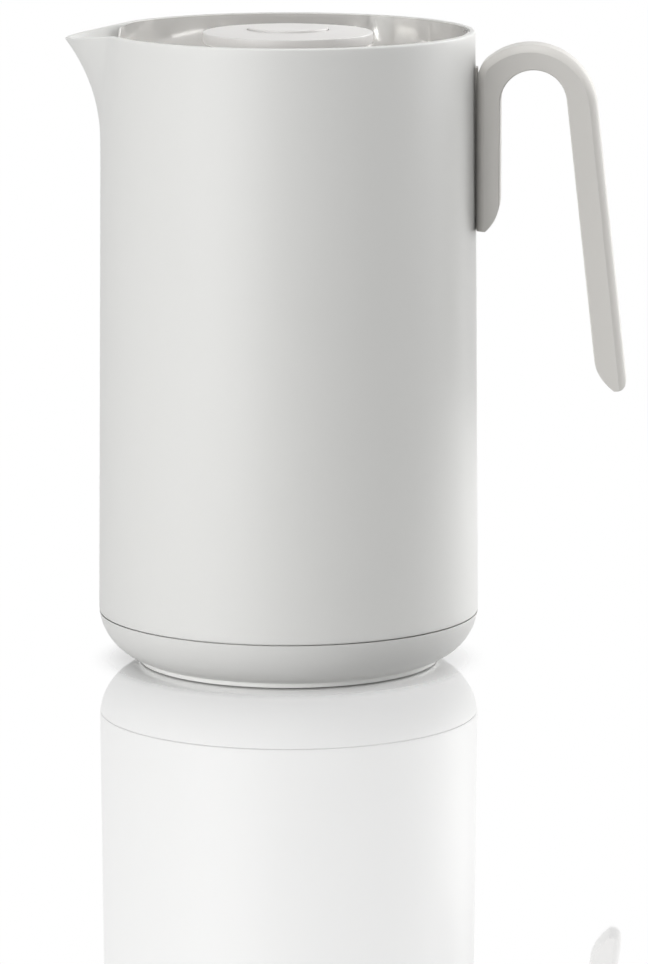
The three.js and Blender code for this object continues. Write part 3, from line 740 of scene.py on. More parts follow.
class CARAFE_OT_stopper(bpy.types.Operator):
    """Model the stopper's plug with its pour windows, and its spring"""

    bl_idname = "carafe.stopper"
    bl_label = "Stopper and spring"

    radius: length("Plug radius", "Outside radius of the plug", 22.5)
    easing: length("Easing", "Rounding of the plug's edges", 0.3)
    flange: length("Flange", "Thickness of the flange that rests in the bowl", 1.6)
    stop: length("Stop", "Thickness of the ring under the gasket", 1.6)
    stop_reach: length("Stop reach", "How far that ring stands out", 1.3)
    seat: length("Seat", "Width of the valve seat", 7.0)
    seat_height: length("Seat height", "Thickness of the valve seat", 2.2)
    web: length("Web", "Thickness of the guide web", 2.0)
    hub: length("Hub", "Radius of the web's hub", 6.0)
    hub_rise: length("Hub rise", "How far the hub stands out above and below the web", 2.0)
    bore: length("Bore", "Radius of the hub's bore", 3.4)
    windows: count("Windows", "Pour windows round the plug, and holes in its web", 6)
    window_half: length("Window half", "Half the width of a window", 7.0)
    window_sill: length("Window sill", "Height of the windows above the web", 0.8)
    window_height: length("Window height", "Height of a window", 11.4)
    window_round: length("Window round", "Rounding of the windows' corners", 2.0)
    window_cut: length("Window cut", "Half the depth that the windows are cut to", 6.0)
    hole_ring: length("Hole ring", "Radius of the ring of holes in the web", 14.0)
    hole: length("Hole", "Radius of a hole", 3.6)
    hole_drop: length("Hole drop", "How far below the web's top the holes are cut from", 4.0)
    hole_length: length("Hole length", "Length that the holes are cut over", 6.0)
    wire: length("Spring wire", "Radius of the spring's wire", 0.7)
    coil: length("Spring coil", "Radius of the spring's coil", 8.4)
    turns: count("Spring turns", "Turns of the spring", 5)

    def execute(self, context):
        self.web_top = spring_low.z - FIT_GAP
        plug = ring("stopper_plug", eased(self.plug_section(), self.easing))
        carve(plug, [self.window_cutter(), self.hole_cutter()])
        finish = lid_plastic("stopper_satin", settings().colours.lid)
        fit(plug, "lid", "lid_plastic", finish, "stopper_body")
        self.wind_spring()
        return {"FINISHED"}

    def plug_section(self):
        """Half section of the plug: seat, wall with its stop and flange, and the web with its hub."""
        web_foot = self.web_top - self.web
        flange_foot = self.web_top - self.flange
        stop_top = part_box("stopper_gasket")[0].z - FIT_GAP
        stop_foot = stop_top - self.stop
        stop_radius = self.radius + self.stop_reach
        inner = settings().lid.plug_inner
        seat = self.radius - self.seat
        seat_top = plug_low.z + self.seat_height
        hub_top = self.web_top + self.hub_rise
        hub_foot = web_foot - self.hub_rise
        return [
            (seat, plug_low.z),
            (self.radius, plug_low.z),
            (self.radius, stop_foot),
            (stop_radius, stop_foot),
            (stop_radius, stop_top),
            (self.radius, stop_top),
            (self.radius, flange_foot),
            (plug_high.x, flange_foot),
            (plug_high.x, self.web_top),
            (self.radius, self.web_top),
            (self.radius, plug_high.z),
            (inner, plug_high.z),
            (inner, self.web_top),
            (self.hub, self.web_top),
            (self.hub, hub_top),
            (self.bore, hub_top),
            (self.bore, hub_foot),
            (self.hub, hub_foot),
            (self.hub, web_foot),
            (inner, web_foot),
            (inner, seat_top),
            (seat, seat_top),
        ]

    def repeat_round(self, name, cutter):
        """Joins copies of a cutter, spread evenly about the upright axis."""
        copies = []
        for index in range(1, self.windows):
            only(cutter)
            bpy.ops.object.duplicate()
            copy = bpy.context.object
            copy.rotation_euler.z = index * FULL_TURN / self.windows
            copies.append(copy)
        only(cutter, *copies)
        bpy.ops.object.transform_apply(location=True, rotation=True, scale=True)
        bpy.ops.object.join()
        cutter.name = name
        return cutter

    def window_cutter(self):
        """Rounded boxes that open the plug's wall above its web."""
        low = self.web_top + self.window_sill
        corners = rectangle(-self.window_half, self.window_half, low, low + self.window_height)
        outline = eased(corners, self.window_round, 2 * EASE_STEPS)
        near, far = self.radius - self.window_cut, self.radius + self.window_cut
        return self.repeat_round("windows", cut_strip("window", outline, near, far))

    def hole_cutter(self):
        """Rods that open the web, so the liquid reaches the windows."""
        foot = self.web_top - self.hole_drop
        circle = arc((self.hole_ring, 0), self.hole, 0, FULL_TURN, CURVE_STEPS)
        rod = prism("hole", [(x, y, foot) for x, y in circle], (0, 0, self.hole_length))
        return self.repeat_round("holes", rod)

    def wind_spring(self):
        """A compression spring wound with a screw modifier, its ends capped."""
        foot = spring_low.z + self.wire
        top = spring_high.z - self.wire
        section = arc((self.coil, foot), self.wire, 0, FULL_TURN, WIRE_SIDES)
        spring = start_piece("spring")
        draw([(r, 0, h) for r, h in section])
        weld()
        bpy.ops.object.mode_set(mode="OBJECT")
        rise = (top - foot) / self.turns
        steps = {"steps": COIL_STEPS, "render_steps": COIL_STEPS}
        modify(spring, "SCREW", screw_offset=rise, iterations=self.turns, **steps)
        self.cap_ends()
        finish = drawn_steel("spring_steel", settings().colours.steel)
        fit(spring, "lid", "steel", finish, "button_spring")
        travel = next(j for j in frame["joints"] if j["name"] == "button_press")["range_m"][1]
        height = spring_high.z - spring_low.z
        (height - travel) / height
        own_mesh(spring)

    def cap_ends(self):
        """Welds the wound wire and closes its two open ends."""
        bpy.ops.object.mode_set(mode="EDIT")
        bpy.ops.mesh.select_all(action="SELECT")
        weld()
        bpy.ops.mesh.select_all(action="DESELECT")
        bpy.ops.mesh.select_non_manifold()
        bpy.ops.mesh.edge_face_add()
        bpy.ops.mesh.fill_holes(sides=0)
        close_mesh()


class CARAFE_OT_valve(bpy.types.Operator):
    """Model the valve under the stopper: stem, plate and clip"""

    bl_idname = "carafe.valve"
    bl_label = "Valve"

    edge: length("Edge round", "Rounding of the valve's edges", 0.3)
    hub: length("Hub", "Radius of the plate's hub", 7.0)
    hub_rise: length("Hub rise", "Height of the hub above the plate", 1.2)
    clip: length("Clip", "Width of the retaining ring", 2.7)
    mouth: turn("Clip mouth", "Opening of the retaining ring", 42.0)

    def execute(self, context):
        steel = drawn_steel("valve_steel", settings().colours.steel)
        low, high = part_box("valve_stem")
        radius = high.x
        edge = self.edge
        stem = turned("stem", [
            (0, low.z),
            *arc((radius - edge, low.z + edge), edge, -QUARTER, 0),
            *arc((radius - edge, high.z - edge), edge, 0, QUARTER),
            (0, high.z),
        ], STEM_SIDES)
        fit(stem, "pour_valve", "steel", steel, "valve_stem")
        low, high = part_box("valve_plate")
        bore = radius + FIT_GAP
        deck = high.z - self.hub_rise
        loop = [
            (bore, low.z),
            (high.x, low.z),
            (high.x, deck),
            (self.hub, deck),
            (self.hub, high.z),
            (bore, high.z),
        ]
        plate = ring("plate", eased(loop, edge))
        finish = lid_plastic("plate_satin", settings().colours.lid)
        fit(plate, "pour_valve", "lid_plastic", finish, "valve_plate")
        low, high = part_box("valve_clip")
        loop = eased(rectangle(bore, bore + self.clip, low.z, high.z), edge)
        clip = turned("clip", [*loop, loop[0]], CLIP_SIDES, FULL_TURN - self.mouth)
        clip.rotation_euler.z = self.mouth / 2
        only(clip)
        bpy.ops.object.transform_apply(location=False, rotation=True, scale=False)
        fit(clip, "pour_valve", "steel", steel, "valve_clip")
        return {"FINISHED"}


class CARAFE_OT_seals(bpy.types.Operator):
    """Model the soft rings: gaskets, seals and the flask's cushion"""

    bl_idname = "carafe.seals"
    bl_label = "Seals"

    edge: length("Edge round", "Rounding of the rings' edges", 0.5)
    neck_bore: length("Neck gasket bore", "Inside radius of the gasket under the flask's lip", 28.9)
    valve_bore: length("Valve seal bore", "Inside radius of the valve's seal", 14.5)
    plug_bore: length("Plug gasket bore", "Inside radius of the plug's gasket", 22.8)
    cushion_bore: length("Cushion bore", "Inside radius of the ring that carries the flask", 24.0)

    def execute(self, context):
        finish = soft_silicone("seal_silicone", settings().colours.silicone)
        self.flat_ring("neck_gasket", self.neck_bore, "carafe", finish)
        self.flat_ring("valve_seal", self.valve_bore, "pour_valve", finish)
        self.lipped_ring(finish)
        self.round_ring(finish)
        self.flask_ring(finish)
        return {"FINISHED"}

    def flat_ring(self, node, inner, body, finish):
        """A ring of square section with eased edges."""
        low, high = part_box(node)
        loop = eased(rectangle(inner, high.x, low.z, high.z), self.edge, ROUND_STEPS)
        fit(ring(node + "_soft", loop), body, "silicone", finish, node)

    def lipped_ring(self, finish):
        """The plug's gasket, with two lips that press against the neck."""
        low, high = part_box("stopper_gasket")
        outer = high.x
        waist = outer - FIT_GAP
        lips = []
        for step in range(2 * CURVE_STEPS + 1):
            climb = step / (2 * CURVE_STEPS)
            swell = math.sin(climb * FULL_TURN) ** 2
            lips.append((waist + (outer - waist) * swell, low.z + (high.z - low.z) * climb))
        loop = [(self.plug_bore, low.z), *lips, (self.plug_bore, high.z)]
        fit(ring("stopper_gasket_soft", loop), "lid_seal", "silicone", finish, "stopper_gasket")

    def round_ring(self, finish):
        """The round seal in the base's joint."""
        low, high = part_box("base_seal")
        section = (high.z - low.z) / 2
        circle = arc((high.x - section, (low.z + high.z) / 2), section, 0, FULL_TURN, CURVE_STEPS)
        fit(ring("base_seal_soft", circle[:-1]), "carafe", "silicone", finish, "base_seal")

    def flask_ring(self, finish):
        """The ring that carries the flask, its top fitted to the flask's dome."""
        low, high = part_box("flask_cushion")
        inner = self.cushion_bore
        outer = high.x
        top = []
        for step in range(CURVE_STEPS + 1):
            radius = outer + (inner - outer) * step / CURVE_STEPS
            top.append((radius, flask_floor("flask_outer_wall", radius) - 2 * FIT_GAP))
        loop = [(inner, low.z), (outer, low.z), *top]
        fit(ring("flask_cushion_soft", loop), "carafe", "silicone", finish, "flask_cushion")


FLASK_DOME = 30.0 * MM
FLASK_WALL = 1.6 * MM
FLASK_NECK = 13.0 * MM
FLASK_SHOULDER = 42.0 * MM
FLASK_EASE = 0.6
FLASK_TIP = 4.6 * MM
FLASK_NIB = 1.8 * MM


def flask_floor(node, radius):
    """Height of the underside of a flask's wall at a radius."""
    low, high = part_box(node)
    start = low.z + (FLASK_TIP if node == "flask_outer_wall" else 0)
    return start + FLASK_DOME * (1 - math.sqrt(1 - (radius / high.x) ** 2))


def flask_outline(side, neck, floor, lip, top):
    """Half outline of one skin of the flask, from the axis at its floor to the top of its neck."""
    neck_start = lip - FLASK_NECK
    shoulder = neck_start - FLASK_SHOULDER
    points = []
    for step in range(CURVE_STEPS + 1):
        angle = QUARTER * (step / CURVE_STEPS - 1)
        points.append((side * math.cos(angle), floor + FLASK_DOME * (1 + math.sin(angle))))
    points[0] = (0, floor)
    for step in range(CURVE_STEPS + 1):
        t = step / CURVE_STEPS
        weights = ((1 - t) ** 3, 3 * t * (1 - t) ** 2, 3 * t**2 * (1 - t), t**3)
        radii = (side, side, neck, neck)
        turn_in = shoulder + FLASK_SHOULDER * FLASK_EASE
        heights = (shoulder, turn_in, turn_in, neck_start)
        radius = sum(w * r for w, r in zip(weights, radii))
        points.append((radius, sum(w * h for w, h in zip(weights, heights))))
    return [*points, (neck, top)]


class CARAFE_OT_flask(bpy.types.Operator):
    """Model the two silvered walls of the vacuum flask"""

    bl_idname = "carafe.flask"
    bl_label = "Flask"

    inner_neck: length("Inner neck", "Inside radius of the neck", 28.6)
    outer_neck: length("Outer neck", "Inside radius of the jacket's neck", 32.4)

    def execute(self, context):
        finish = silvered_glass("flask_silver", settings().colours.silver)
        low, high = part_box("flask_inner_wall")
        side = high.x
        lip = high.z
        lip_foot = lip - FLASK_WALL
        lip_outer = self.outer_neck + FLASK_WALL
        neck = self.inner_neck
        outside = flask_outline(side, neck + FLASK_WALL, low.z, lip, lip_foot)
        inside = flask_outline(side - FLASK_WALL, neck, low.z + FLASK_WALL, lip, lip)
        lining = turned("flask_lining", [
            *outside,
            *arc((lip_outer - FLASK_WALL / 2, lip - FLASK_WALL / 2), FLASK_WALL / 2, -QUARTER, QUARTER),
            *reversed(inside),
        ])
        fit(lining, "carafe", "flask_silver", finish, "flask_inner_wall")
        low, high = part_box("flask_outer_wall")
        side = high.x
        floor = low.z + FLASK_TIP
        top = high.z
        outside = flask_outline(side, lip_outer, floor, lip, top)
        inside = flask_outline(side - FLASK_WALL, self.outer_neck, floor + FLASK_WALL, lip, top)
        nib = [*arc((0, low.z + FLASK_NIB), FLASK_NIB, -QUARTER, 0), (FLASK_NIB, floor - FLASK_NIB / 2)]
        skin = [point for point in outside if point[0] > 2 * FLASK_NIB]
        jacket = turned("flask_jacket", [*nib, *skin, *reversed(inside)])
        fit(jacket, "carafe", "flask_silver", finish, "flask_outer_wall")
        return {"FINISHED"}


class CARAFE_OT_handle(bpy.types.Operator):
    """Model the hooked handle and the pad under it"""

    bl_idname = "carafe.handle"
    bl_label = "Handle"

    tip_corner: length("Tip corner", "Rounding of the tip's outer corner", 4.2)
    tip_reach: length("Tip reach", "Width of the curve on the tip's inner side", 6.1)
    tip_round: length("Tip round", "Height of the curve on the tip's inner side", 11.8)
    tip_bulge: share("Tip bulge", "How far that curve keeps to the leg before it turns", 0.56)
    foot_reach: length("Foot reach", "Width of the curve on the foot's inner side", 5.3)
    foot_round: length("Foot round", "Height of the curve on the foot's inner side", 12.0)
    foot_bulge: share("Foot bulge", "How far that curve keeps to the leg before it turns", 0.6)
    neck_blend: length("Neck blend", "Length of the blend from the back into the arch", 4.0)
    pad_edge: length("Pad edge", "Rounding of the pad's edges", 0.15)
    pad_gap: length("Pad gap", "Gap of the pad to the body and to the handle", 0.05)
    pad_inset: length("Pad inset", "How far the pad's sides lie inside its place", 1.8)
    pad_depth: length("Pad depth", "Depth of the block that the pad is cut from", 12.0)
    spare: length("Spare", "Length that is cut off at each end", 8.0)
    crease: turn("Crease", "Edges of the hook that turn further than this stay crisp", 14.0)

    def execute(self, context):
        self.place()
        piece = cut_strip("handle_strip", [*self.outside(), *self.inside()], handle_low.y, handle_high.y)
        self.round_edges(piece)
        low, high = handle_low.y - self.spare, handle_high.y + self.spare
        carve(piece, [
            cut_strip("foot_cut", self.foot_cut(), low, high),
            cut_strip("tip_cut", self.tip_cut(), low, high),
        ])
        finish = satin_plastic("handle_satin", settings().colours.handle, HANDLE_GLOSS)
        fit(piece, "carafe", "handle_plastic", finish, "handle", angle=self.crease)
        self.pad(finish)
        return {"FINISHED"}

    def place(self):
        """Works out the lines and arcs that the hook is drawn with."""
        hook = settings().handle
        self.hook = hook
        self.back = handle_low.x - hook.back_seat
        self.tip = handle_low.z
        self.palm = handle_low.x + hook.leg
        reach = hook.arch_outer - hook.back_cut + hook.back_seat
        self.outer_centre = Vector((self.back + reach, handle_high.z - hook.arch_outer))
        self.arch = self.outer_centre.y + hook.arch_drop
        self.inner_centre = Vector((self.palm + hook.arch_inner, self.arch))
        self.arch_start = math.acos(-reach / hook.arch_outer)
        self.back_top = self.outer_centre.y + hook.arch_outer * math.sin(self.arch_start)
        self.foot = self.arch - hook.leg_length
        away = Vector((math.cos(hook.slant), math.sin(hook.slant)))
        self.outer_start = self.outer_centre + away * hook.arch_outer
        self.inner_start = self.inner_centre + away * hook.arch_inner

    def along(self, start, height):
        """The point of a slanted line through a start at a height."""
        return start.x + (start.y - height) * math.tan(self.hook.slant), height

    def outside(self):
        """The back and the outside of the hook, past both ends."""
        end = self.tip - self.spare
        foot = self.foot - self.spare
        blend_foot = self.back_top - self.neck_blend
        blend_turn = self.arch_start - self.neck_blend / self.hook.arch_outer
        bow = arc(self.outer_centre, self.hook.arch_outer, blend_turn, self.hook.slant, 2 * CURVE_STEPS)
        return [
            (self.back, foot),
            *[(self.back, h) for h in rungs(foot, blend_foot, CURVE_STEPS)],
            *sweep((self.back, blend_foot), (self.back, self.back_top), bow[0], ROUND_STEPS),
            *bow,
            *[self.along(self.outer_start, h) for h in rungs(self.outer_start.y, end, CURVE_STEPS)],
            self.along(self.outer_start, end),
        ]

    def inside(self):
        """The inside of the hook, past both ends."""
        end = self.tip - self.spare
        foot = self.foot - self.spare
        return [
            self.along(self.inner_start, end),
            *[self.along(self.inner_start, h) for h in rungs(end, self.inner_start.y, CURVE_STEPS)],
            *arc(self.inner_centre, self.hook.arch_inner, self.hook.slant, math.pi, 2 * CURVE_STEPS),
            *[(self.palm, h) for h in rungs(self.arch, foot, CURVE_STEPS)],
            (self.palm, foot),
        ]

    def leg_end(self, leg, corner, flat, bulge):
        """The curve from the inner side of a leg to its flat end."""
        control = Vector(leg).lerp(Vector(corner), bulge)
        return sweep(leg, control, flat)

    def foot_cut(self):
        """What is cut off below the foot of the leg at the body."""
        start = (self.palm, self.foot + self.foot_round)
        end = (self.palm - self.foot_reach, self.foot)
        below = self.foot - 2 * self.spare
        return [
            *self.leg_end(start, (self.palm, self.foot), end, self.foot_bulge),
            (self.back - self.spare, self.foot),
            (self.back - self.spare, below),
            (self.palm + self.spare, below),
            (self.palm + self.spare, start[1]),
        ]

    def tip_cut(self):
        """What is cut off below the tip of the free leg."""
        corner = self.along(self.outer_start, self.tip)
        start = self.along(self.outer_start, self.tip + self.tip_corner)
        flat_end = corner[0] - self.tip_corner
        end = self.along(self.inner_start, self.tip + self.tip_round)
        inner_corner = self.along(self.inner_start, self.tip)
        flat_start = (inner_corner[0] + self.tip_reach, self.tip)
        below = self.tip - 2 * self.spare
        return [
            *sweep(start, corner, (flat_end, self.tip)),
            *reversed(self.leg_end(end, inner_corner, flat_start, self.tip_bulge)),
            (end[0] - self.spare, end[1]),
            (end[0] - self.spare, below),
            (start[0] + self.spare, below),
            (start[0] + self.spare, start[1]),
        ]

    def round_edges(self, piece):
        """Rounds the side edges of the hook, its outside more than its inside."""
        widest = self.hook.back_round
        marks = [(*point, 1.0) for point in self.outside()]
        marks += [(*point, self.hook.palm_round / widest) for point in self.inside()]

        def weight_at(place):
            return min(marks, key=lambda mark: math.hypot(mark[0] - place.x, mark[1] - place.z))[2]

        mesh = piece.data
        layer = mesh.attributes.new("bevel_weight_edge", "FLOAT", "EDGE")
        for edge in mesh.edges:
            first, second = (mesh.vertices[index].co for index in edge.vertices)
            weight = weight_at(first)
            if abs(first.y - second.y) < WELD and weight == weight_at(second):
                layer.data[edge.index].value = weight
        rounding = {"width": widest, "segments": 2 * EASE_STEPS, "profile": self.hook.back_fullness}
        modify(piece, "BEVEL", limit_method="WEIGHT", use_clamp_overlap=False, **rounding)

    def pad(self, finish):
        """The pad between the round shell and the flat back of the handle."""
        wall = Wall()
        deselect()
        bpy.ops.mesh.primitive_cube_add(size=1.0)
        pad = added("handle_pad")
        low = Vector((self.back - self.pad_depth, saddle_low.y + self.pad_inset, saddle_low.z))
        high = Vector((self.back - self.pad_gap, saddle_high.y - self.pad_inset, saddle_high.z))
        pad.location = (low + high) / 2
        pad.scale = high - low
        bpy.ops.object.transform_apply(location=True, rotation=True, scale=True)
        sharp = {"limit_method": "ANGLE", "angle_limit": SHARP_ANGLE}
        modify(pad, "BEVEL", width=self.pad_edge, segments=EASE_STEPS, **sharp)
        foot = saddle_low.z - self.spare
        head = saddle_high.z + self.spare
        cylinder = turned("shell_form", [
            (0, foot),
            (wall.radius(foot) + self.pad_gap, foot),
            (wall.radius(head) + self.pad_gap, head),
            (0, head),
        ], BODY_SIDES)
        carve(pad, [cylinder])
        fit(pad, "carafe", "handle_plastic", finish, "handle_saddle")


class CARAFE_OT_fasteners(bpy.types.Operator):
    """Give the hidden fasteners of the handle a drawn steel finish"""

    bl_idname = "carafe.fasteners"
    bl_label = "Fasteners"

    def execute(self, context):
        finish = drawn_steel("fastener_steel", settings().colours.steel)
        for name in ("handle_backplate", "handle_screw_upper", "handle_screw_lower"):
            mesh = frame["nodes"][name].data
            mesh.materials.clear()
            mesh.materials.append(finish)
        return {"FINISHED"}


BODY_GLOSS = 0.22
HANDLE_GLOSS = 0.2
SHADE_SWING = 0.2
NOISE_ROUGHNESS = 0.55
WHITE = (1.0, 1.0, 1.0)


class Strand:
    """A value in a node tree. Arithmetic on it adds Math nodes."""

    def __init__(self, finish, socket):
        self.finish = finish
        self.socket = socket

    def math(self, operation, other):
        node = self.finish.node("ShaderNodeMath", {"operation": operation}, {0: self, 1: other})
        return Strand(self.finish, node.outputs[0])

    def __add__(self, other):
        return self.math("ADD", other)

    def __sub__(self, other):
        return self.math("SUBTRACT", other)

    def __mul__(self, other):
        return self.math("MULTIPLY", other)


class Finish:
    """One material and the nodes that are added to it."""

    def __init__(self, name):
        self.material = bpy.data.materials.new(name)
        self.material.use_nodes = True
        self.tree = self.material.node_tree
        self.tree.nodes.clear()
        self.shader = self.node("ShaderNodeBsdfPrincipled")
        self.output = self.node("ShaderNodeOutputMaterial", {}, {"Surface": self.shader.outputs[0]})
        self.place = self.node("ShaderNodeTexCoord").outputs["Object"]

    def node(self, kind, options=None, inputs=None):
        """Adds a node, sets its options and then fills or links its sockets."""
        node = self.tree.nodes.new(kind)
        for name, value in (options or {}).items():
            setattr(node, name, value)
        for name, value in (inputs or {}).items():
            self.feed(node.inputs[name], value)
        return node

    def feed(self, socket, value):
        """Sets a socket's value, or links it where the value is a strand or a socket."""
        if isinstance(value, Strand):
            value = value.socket
        if isinstance(value, bpy.types.NodeSocket):
            self.tree.links.new(value, socket)
        elif socket.type == "RGBA" and len(value) == 3:
            socket.default_value = (*value, 1.0)
        else:
            socket.default_value = value

    def set(self, **inputs):
        """Fills the shader's own sockets, named with underscores for spaces."""
        for name, value in inputs.items():
            self.feed(self.shader.inputs[name.replace("_", " ")], value)

    def noise(self, scale, detail=2.0, stretch=(1.0, 1.0, 1.0)):
        """Soft noise about zero, with a scale in cells per metre."""
        mapping = self.node("ShaderNodeMapping", {}, {"Vector": self.place, "Scale": stretch})
        grain = {"Scale": scale, "Detail": detail, "Roughness": NOISE_ROUGHNESS}
        node = self.node("ShaderNodeTexNoise", {}, {"Vector": mapping.outputs[0], **grain})
        return Strand(self, node.outputs[0]) - 0.5

    def shade(self, colour, amount):
        """A colour made lighter or darker by a strand that varies about zero."""
        dark = tuple(channel * (1 - SHADE_SWING) for channel in colour)
        light = tuple(min(channel * (1 + SHADE_SWING), 1.0) for channel in colour)
        options = {"data_type": "RGBA"}
        mix = self.node("ShaderNodeMix", options, {0: amount + 0.5, 6: dark, 7: light})
        return mix.outputs[2]

    def relief(self, height, distance):
        """A bump from a strand, whose full swing is the distance in metres."""
        bump = self.node("ShaderNodeBump", {}, {"Height": height, "Distance": distance, "Strength": 1.0})
        return bump.outputs[0]


def satin_plastic(name, colour, gloss):
    """Moulded plastic with a fine spark-eroded grain and a faint cloudiness."""
    finish = Finish(name)
    cloud = finish.noise(9.0, 3.0)
    grain = finish.noise(2600.0, 2.0)
    flow = finish.noise(60.0, 3.0, (1.0, 1.0, 0.15))
    finish.set(
        Base_Color=finish.shade(colour, cloud * 0.08 + grain * 0.05 + flow * 0.03),
        Roughness=grain * 0.12 + cloud * 0.06 + 0.42,
        Normal=finish.relief(grain, 0.012 * MM),
        Specular_IOR_Level=gloss,
    )
    return finish.material


def lid_plastic(name, colour):
    """Moulded plastic with a smoother face than the body's."""
    finish = Finish(name)
    cloud = finish.noise(14.0, 3.0)
    grain = finish.noise(3200.0, 2.0)
    finish.set(
        Base_Color=finish.shade(colour, cloud * 0.06 + grain * 0.04),
        Roughness=grain * 0.1 + cloud * 0.08 + 0.36,
        Normal=finish.relief(grain, 0.008 * MM),
        IOR=1.5,
    )
    return finish.material


def polished_plastic(name, colour):
    """Glossy plastic with the slight waves that moulding leaves."""
    finish = Finish(name)
    wave = finish.noise(28.0, 1.0, (1.0, 1.0, 0.4))
    haze = finish.noise(220.0, 3.0)
    finish.set(
        Base_Color=finish.shade(colour, wave * 0.06 + haze * 0.03),
        Metallic=0.6,
        Roughness=haze * 0.04 + 0.07,
        Normal=finish.relief(wave, 0.06 * MM),
    )
    return finish.material


def soft_rubber(name, colour):
    """Soft moulded rubber with a dry, speckled face."""
    finish = Finish(name)
    speckle = finish.noise(1800.0, 4.0)
    dust = finish.noise(70.0, 4.0)
    finish.set(
        Base_Color=finish.shade(colour, speckle * 0.1 + dust * 0.1),
        Roughness=speckle * 0.1 + dust * 0.12 + 0.68,
        Normal=finish.relief(speckle, 0.03 * MM),
        IOR=1.45,
    )
    return finish.material


def soft_silicone(name, colour):
    """Milky silicone, a little duller where it was handled."""
    finish = Finish(name)
    milk = finish.noise(45.0, 3.0)
    skin = finish.noise(1400.0, 2.0)
    finish.set(
        Base_Color=finish.shade(colour, milk * 0.12 + skin * 0.05),
        Roughness=milk * 0.2 + skin * 0.08 + 0.5,
        Normal=finish.relief(skin, 0.01 * MM),
        IOR=1.42,
    )
    return finish.material


def silvered_glass(name, colour):
    """Glass with a mirror coat behind it, slightly uneven from blowing."""
    finish = Finish(name)
    blown = finish.noise(24.0, 2.0, (1.0, 1.0, 0.3))
    stain = finish.noise(11.0, 4.0)
    finish.set(
        Base_Color=finish.shade(colour, stain * 0.2),
        Metallic=stain * 0.1 + 0.95,
        Roughness=stain * 0.08 + 0.07,
        Normal=finish.relief(blown, 0.2 * MM),
        Coat_Weight=0.6,
    )
    return finish.material


def drawn_steel(name, colour):
    """Steel with fine drawing lines along it."""
    finish = Finish(name)
    lines = finish.noise(900.0, 3.0, (1.0, 1.0, 0.04))
    stain = finish.noise(120.0, 3.0)
    finish.set(
        Base_Color=finish.shade(colour, lines * 0.3 + stain * 0.2),
        Metallic=1.0,
        Roughness=lines * 0.2 + stain * 0.1 + 0.3,
        Normal=finish.relief(lines, 0.01 * MM),
    )
    return finish.material


def white_when_seen(finish, level):
    """1 for rays of the camera, of reflections and of clear materials, and a level as light on surfaces."""
    path = finish.node("ShaderNodeLightPath")
    names = ("Is Camera Ray", "Is Glossy Ray", "Is Transmission Ray")
    camera, glossy, clear = (Strand(finish, path.outputs[name]) for name in names)
    seen = finish.node("ShaderNodeClamp", {}, {"Value": camera + glossy + clear})
    return Strand(finish, seen.outputs[0]) * (1.0 - level) + level


class Surroundings(Finish):
    """The world's nodes, built in the same way as a material's."""

    def __init__(self, world):
        world.use_nodes = True
        self.tree = world.node_tree
        self.tree.nodes.clear()
        self.shader = self.node("ShaderNodeBackground")
        self.output = self.node("ShaderNodeOutputWorld", {}, {"Surface": self.shader.outputs[0]})


FLOOR_CELLS = 4
FLOOR_GREY = (0.8, 0.8, 0.8)
FLOOR_NEAR = 55.0 * MM
FLOOR_FAR = 76.0 * MM
MIRROR_IOR = 1.6
MIRROR_GAIN = 1.35
MIRROR_ROUGHNESS = 0.02


def gloss_floor(name, level):
    """White floor that mirrors the carafe, lit and shadowed near it and plain white further off."""
    finish = Finish(name)

    def mix(factor, first, second):
        sockets = {0: factor, 1: first.outputs[0], 2: second.outputs[0]}
        return finish.node("ShaderNodeMixShader", {}, sockets)

    cloud = finish.noise(3.0, 2.0)
    finish.set(
        Base_Color=finish.shade(FLOOR_GREY, cloud * 0.04),
        Roughness=cloud * 0.1 + 0.9,
        Specular_IOR_Level=0.0,
    )
    white = finish.node("ShaderNodeEmission", {}, {"Strength": white_when_seen(finish, level)})
    away = finish.node("ShaderNodeVectorMath", {"operation": "LENGTH"}, {0: finish.place})
    ease = {"Value": away.outputs["Value"], "From Min": FLOOR_NEAR, "From Max": FLOOR_FAR}
    far = finish.node("ShaderNodeMapRange", {"interpolation_type": "SMOOTHSTEP"}, ease)
    matt = mix(far.outputs[0], finish.shader, white)
    mirror = finish.node("ShaderNodeBsdfGlossy", {}, {"Color": WHITE, "Roughness": MIRROR_ROUGHNESS})
    gloss = Strand(finish, finish.node("ShaderNodeFresnel", {}, {"IOR": MIRROR_IOR}).outputs[0])
    both = mix(gloss * MIRROR_GAIN, matt, mirror)
    finish.feed(finish.output.inputs["Surface"], both.outputs[0])
    return finish.material


LAMPS = (
    dict(name="key_lamp", level=0.89, width=1.3, height=0.6, azimuth=-36.0, elevation=9.0, distance=1.5),
    dict(name="edge_lamp", level=1.18, width=1.6, height=1.1, azimuth=114.0, elevation=18.0, distance=1.6),
    dict(name="top_lamp", level=0.63, width=0.8, height=0.8, azimuth=20.0, elevation=82.0, distance=1.5),
)


def direction(side, up):
    """The way from the carafe to a place at an azimuth from the front and an elevation."""
    return Vector((math.sin(side) * math.cos(up), -math.cos(side) * math.cos(up), math.sin(up)))


def aim_back(thing, way):
    """Turns a lamp or camera so that it looks back along the way to it."""
    thing.rotation_mode = "QUATERNION"
    thing.rotation_quaternion = way.to_track_quat("Z", "Y")


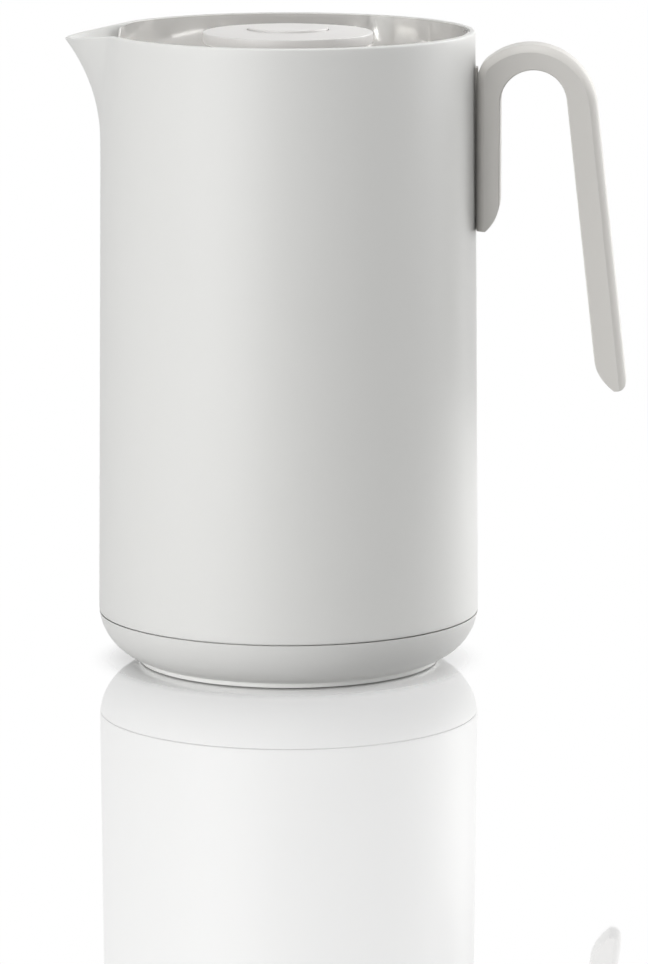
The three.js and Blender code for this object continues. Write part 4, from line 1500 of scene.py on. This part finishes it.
class CARAFE_OT_stage(bpy.types.Operator):
    """Set the floor, the lamps, the surroundings and the camera"""

    bl_idname = "carafe.stage"
    bl_label = "Stage"

    floor_size: length("Floor size", "Side of the square floor", 12000.0)

    def execute(self, context):
        self.floor()
        for lamp in LAMPS:
            self.lamp(**lamp)
        self.surroundings(context.scene)
        self.camera(context.scene)
        context.scene.view_settings.view_transform = "Standard"
        return {"FINISHED"}

    def floor(self):
        """The white floor, as part of the stage."""
        cells = {"x_subdivisions": FLOOR_CELLS, "y_subdivisions": FLOOR_CELLS}
        deselect()
        bpy.ops.mesh.primitive_grid_add(size=self.floor_size, **cells)
        floor = added("floor")
        floor.data.materials.append(gloss_floor("floor_gloss", settings().stage.bounce))

    def lamp(self, name, level, width, height, azimuth, elevation, distance):
        """A soft lamp, in metres and degrees, that is aimed at the middle of the carafe."""
        deselect()
        bpy.ops.object.light_add(type="AREA")
        lamp = added(name)
        lamp.data.energy = level * (math.pi * distance) ** 2
        lamp.data.shape = "RECTANGLE"
        lamp.data.size = width
        lamp.data.size_y = height
        way = direction(math.radians(azimuth), math.radians(elevation))
        lamp.location = Vector((0, 0, shell_high.z / 2)) + way * distance
        aim_back(lamp, way)

    def surroundings(self, scene):
        """White where the camera or a reflection sees it, and a plain soft level as light."""
        world = bpy.data.worlds.new("surroundings")
        scene.world = world
        finish = Surroundings(world)
        finish.set(Color=WHITE, Strength=white_when_seen(finish, settings().stage.ambient))

    def camera(self, scene):
        """The camera, placed by its distance and angles from the point that it aims at."""
        stage = settings().stage
        right = Vector((math.cos(stage.azimuth), math.sin(stage.azimuth), 0))
        way = direction(stage.azimuth, stage.elevation)
        aim = right * stage.aim_side + Vector((0, 0, stage.aim_height))
        deselect()
        bpy.ops.object.camera_add(location=aim + way * stage.distance)
        camera = bpy.context.object
        aim_back(camera, way)
        camera.data.lens = stage.lens
        scene.camera = camera


OPERATORS = (
    CARAFE_OT_shell,
    CARAFE_OT_base,
    CARAFE_OT_bowl,
    CARAFE_OT_lid,
    CARAFE_OT_stopper,
    CARAFE_OT_valve,
    CARAFE_OT_seals,
    CARAFE_OT_flask,
    CARAFE_OT_handle,
    CARAFE_OT_fasteners,
    CARAFE_OT_stage,
)


class CARAFE_PT_panel(bpy.types.Panel):
    """Lists the pieces of the carafe"""

    bl_idname = "CARAFE_PT_panel"
    bl_label = "Carafe"
    bl_space_type = "VIEW_3D"
    bl_region_type = "UI"
    bl_category = "Carafe"

    def draw(self, context):
        for operator in OPERATORS:
            self.layout.operator(operator.bl_idname)


CLASSES = (
    CarafeBody,
    CarafeLid,
    CarafeHandle,
    CarafeColours,
    CarafeStage,
    CarafeSettings,
    *OPERATORS,
    CARAFE_PT_panel,
)


def register():
    for cls in CLASSES:
        bpy.utils.register_class(cls)
    bpy.types.Scene.carafe = bpy.props.PointerProperty(type=CarafeSettings)


def unregister():
    del bpy.types.Scene.carafe
    for cls in reversed(CLASSES):
        bpy.utils.unregister_class(cls)


def main():
    """Registers the add-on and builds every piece."""
    register()
    for operator in OPERATORS:
        group, action = operator.bl_idname.split(".")
        getattr(getattr(bpy.ops, group), action)()


if __name__ == "__main__":
    main()
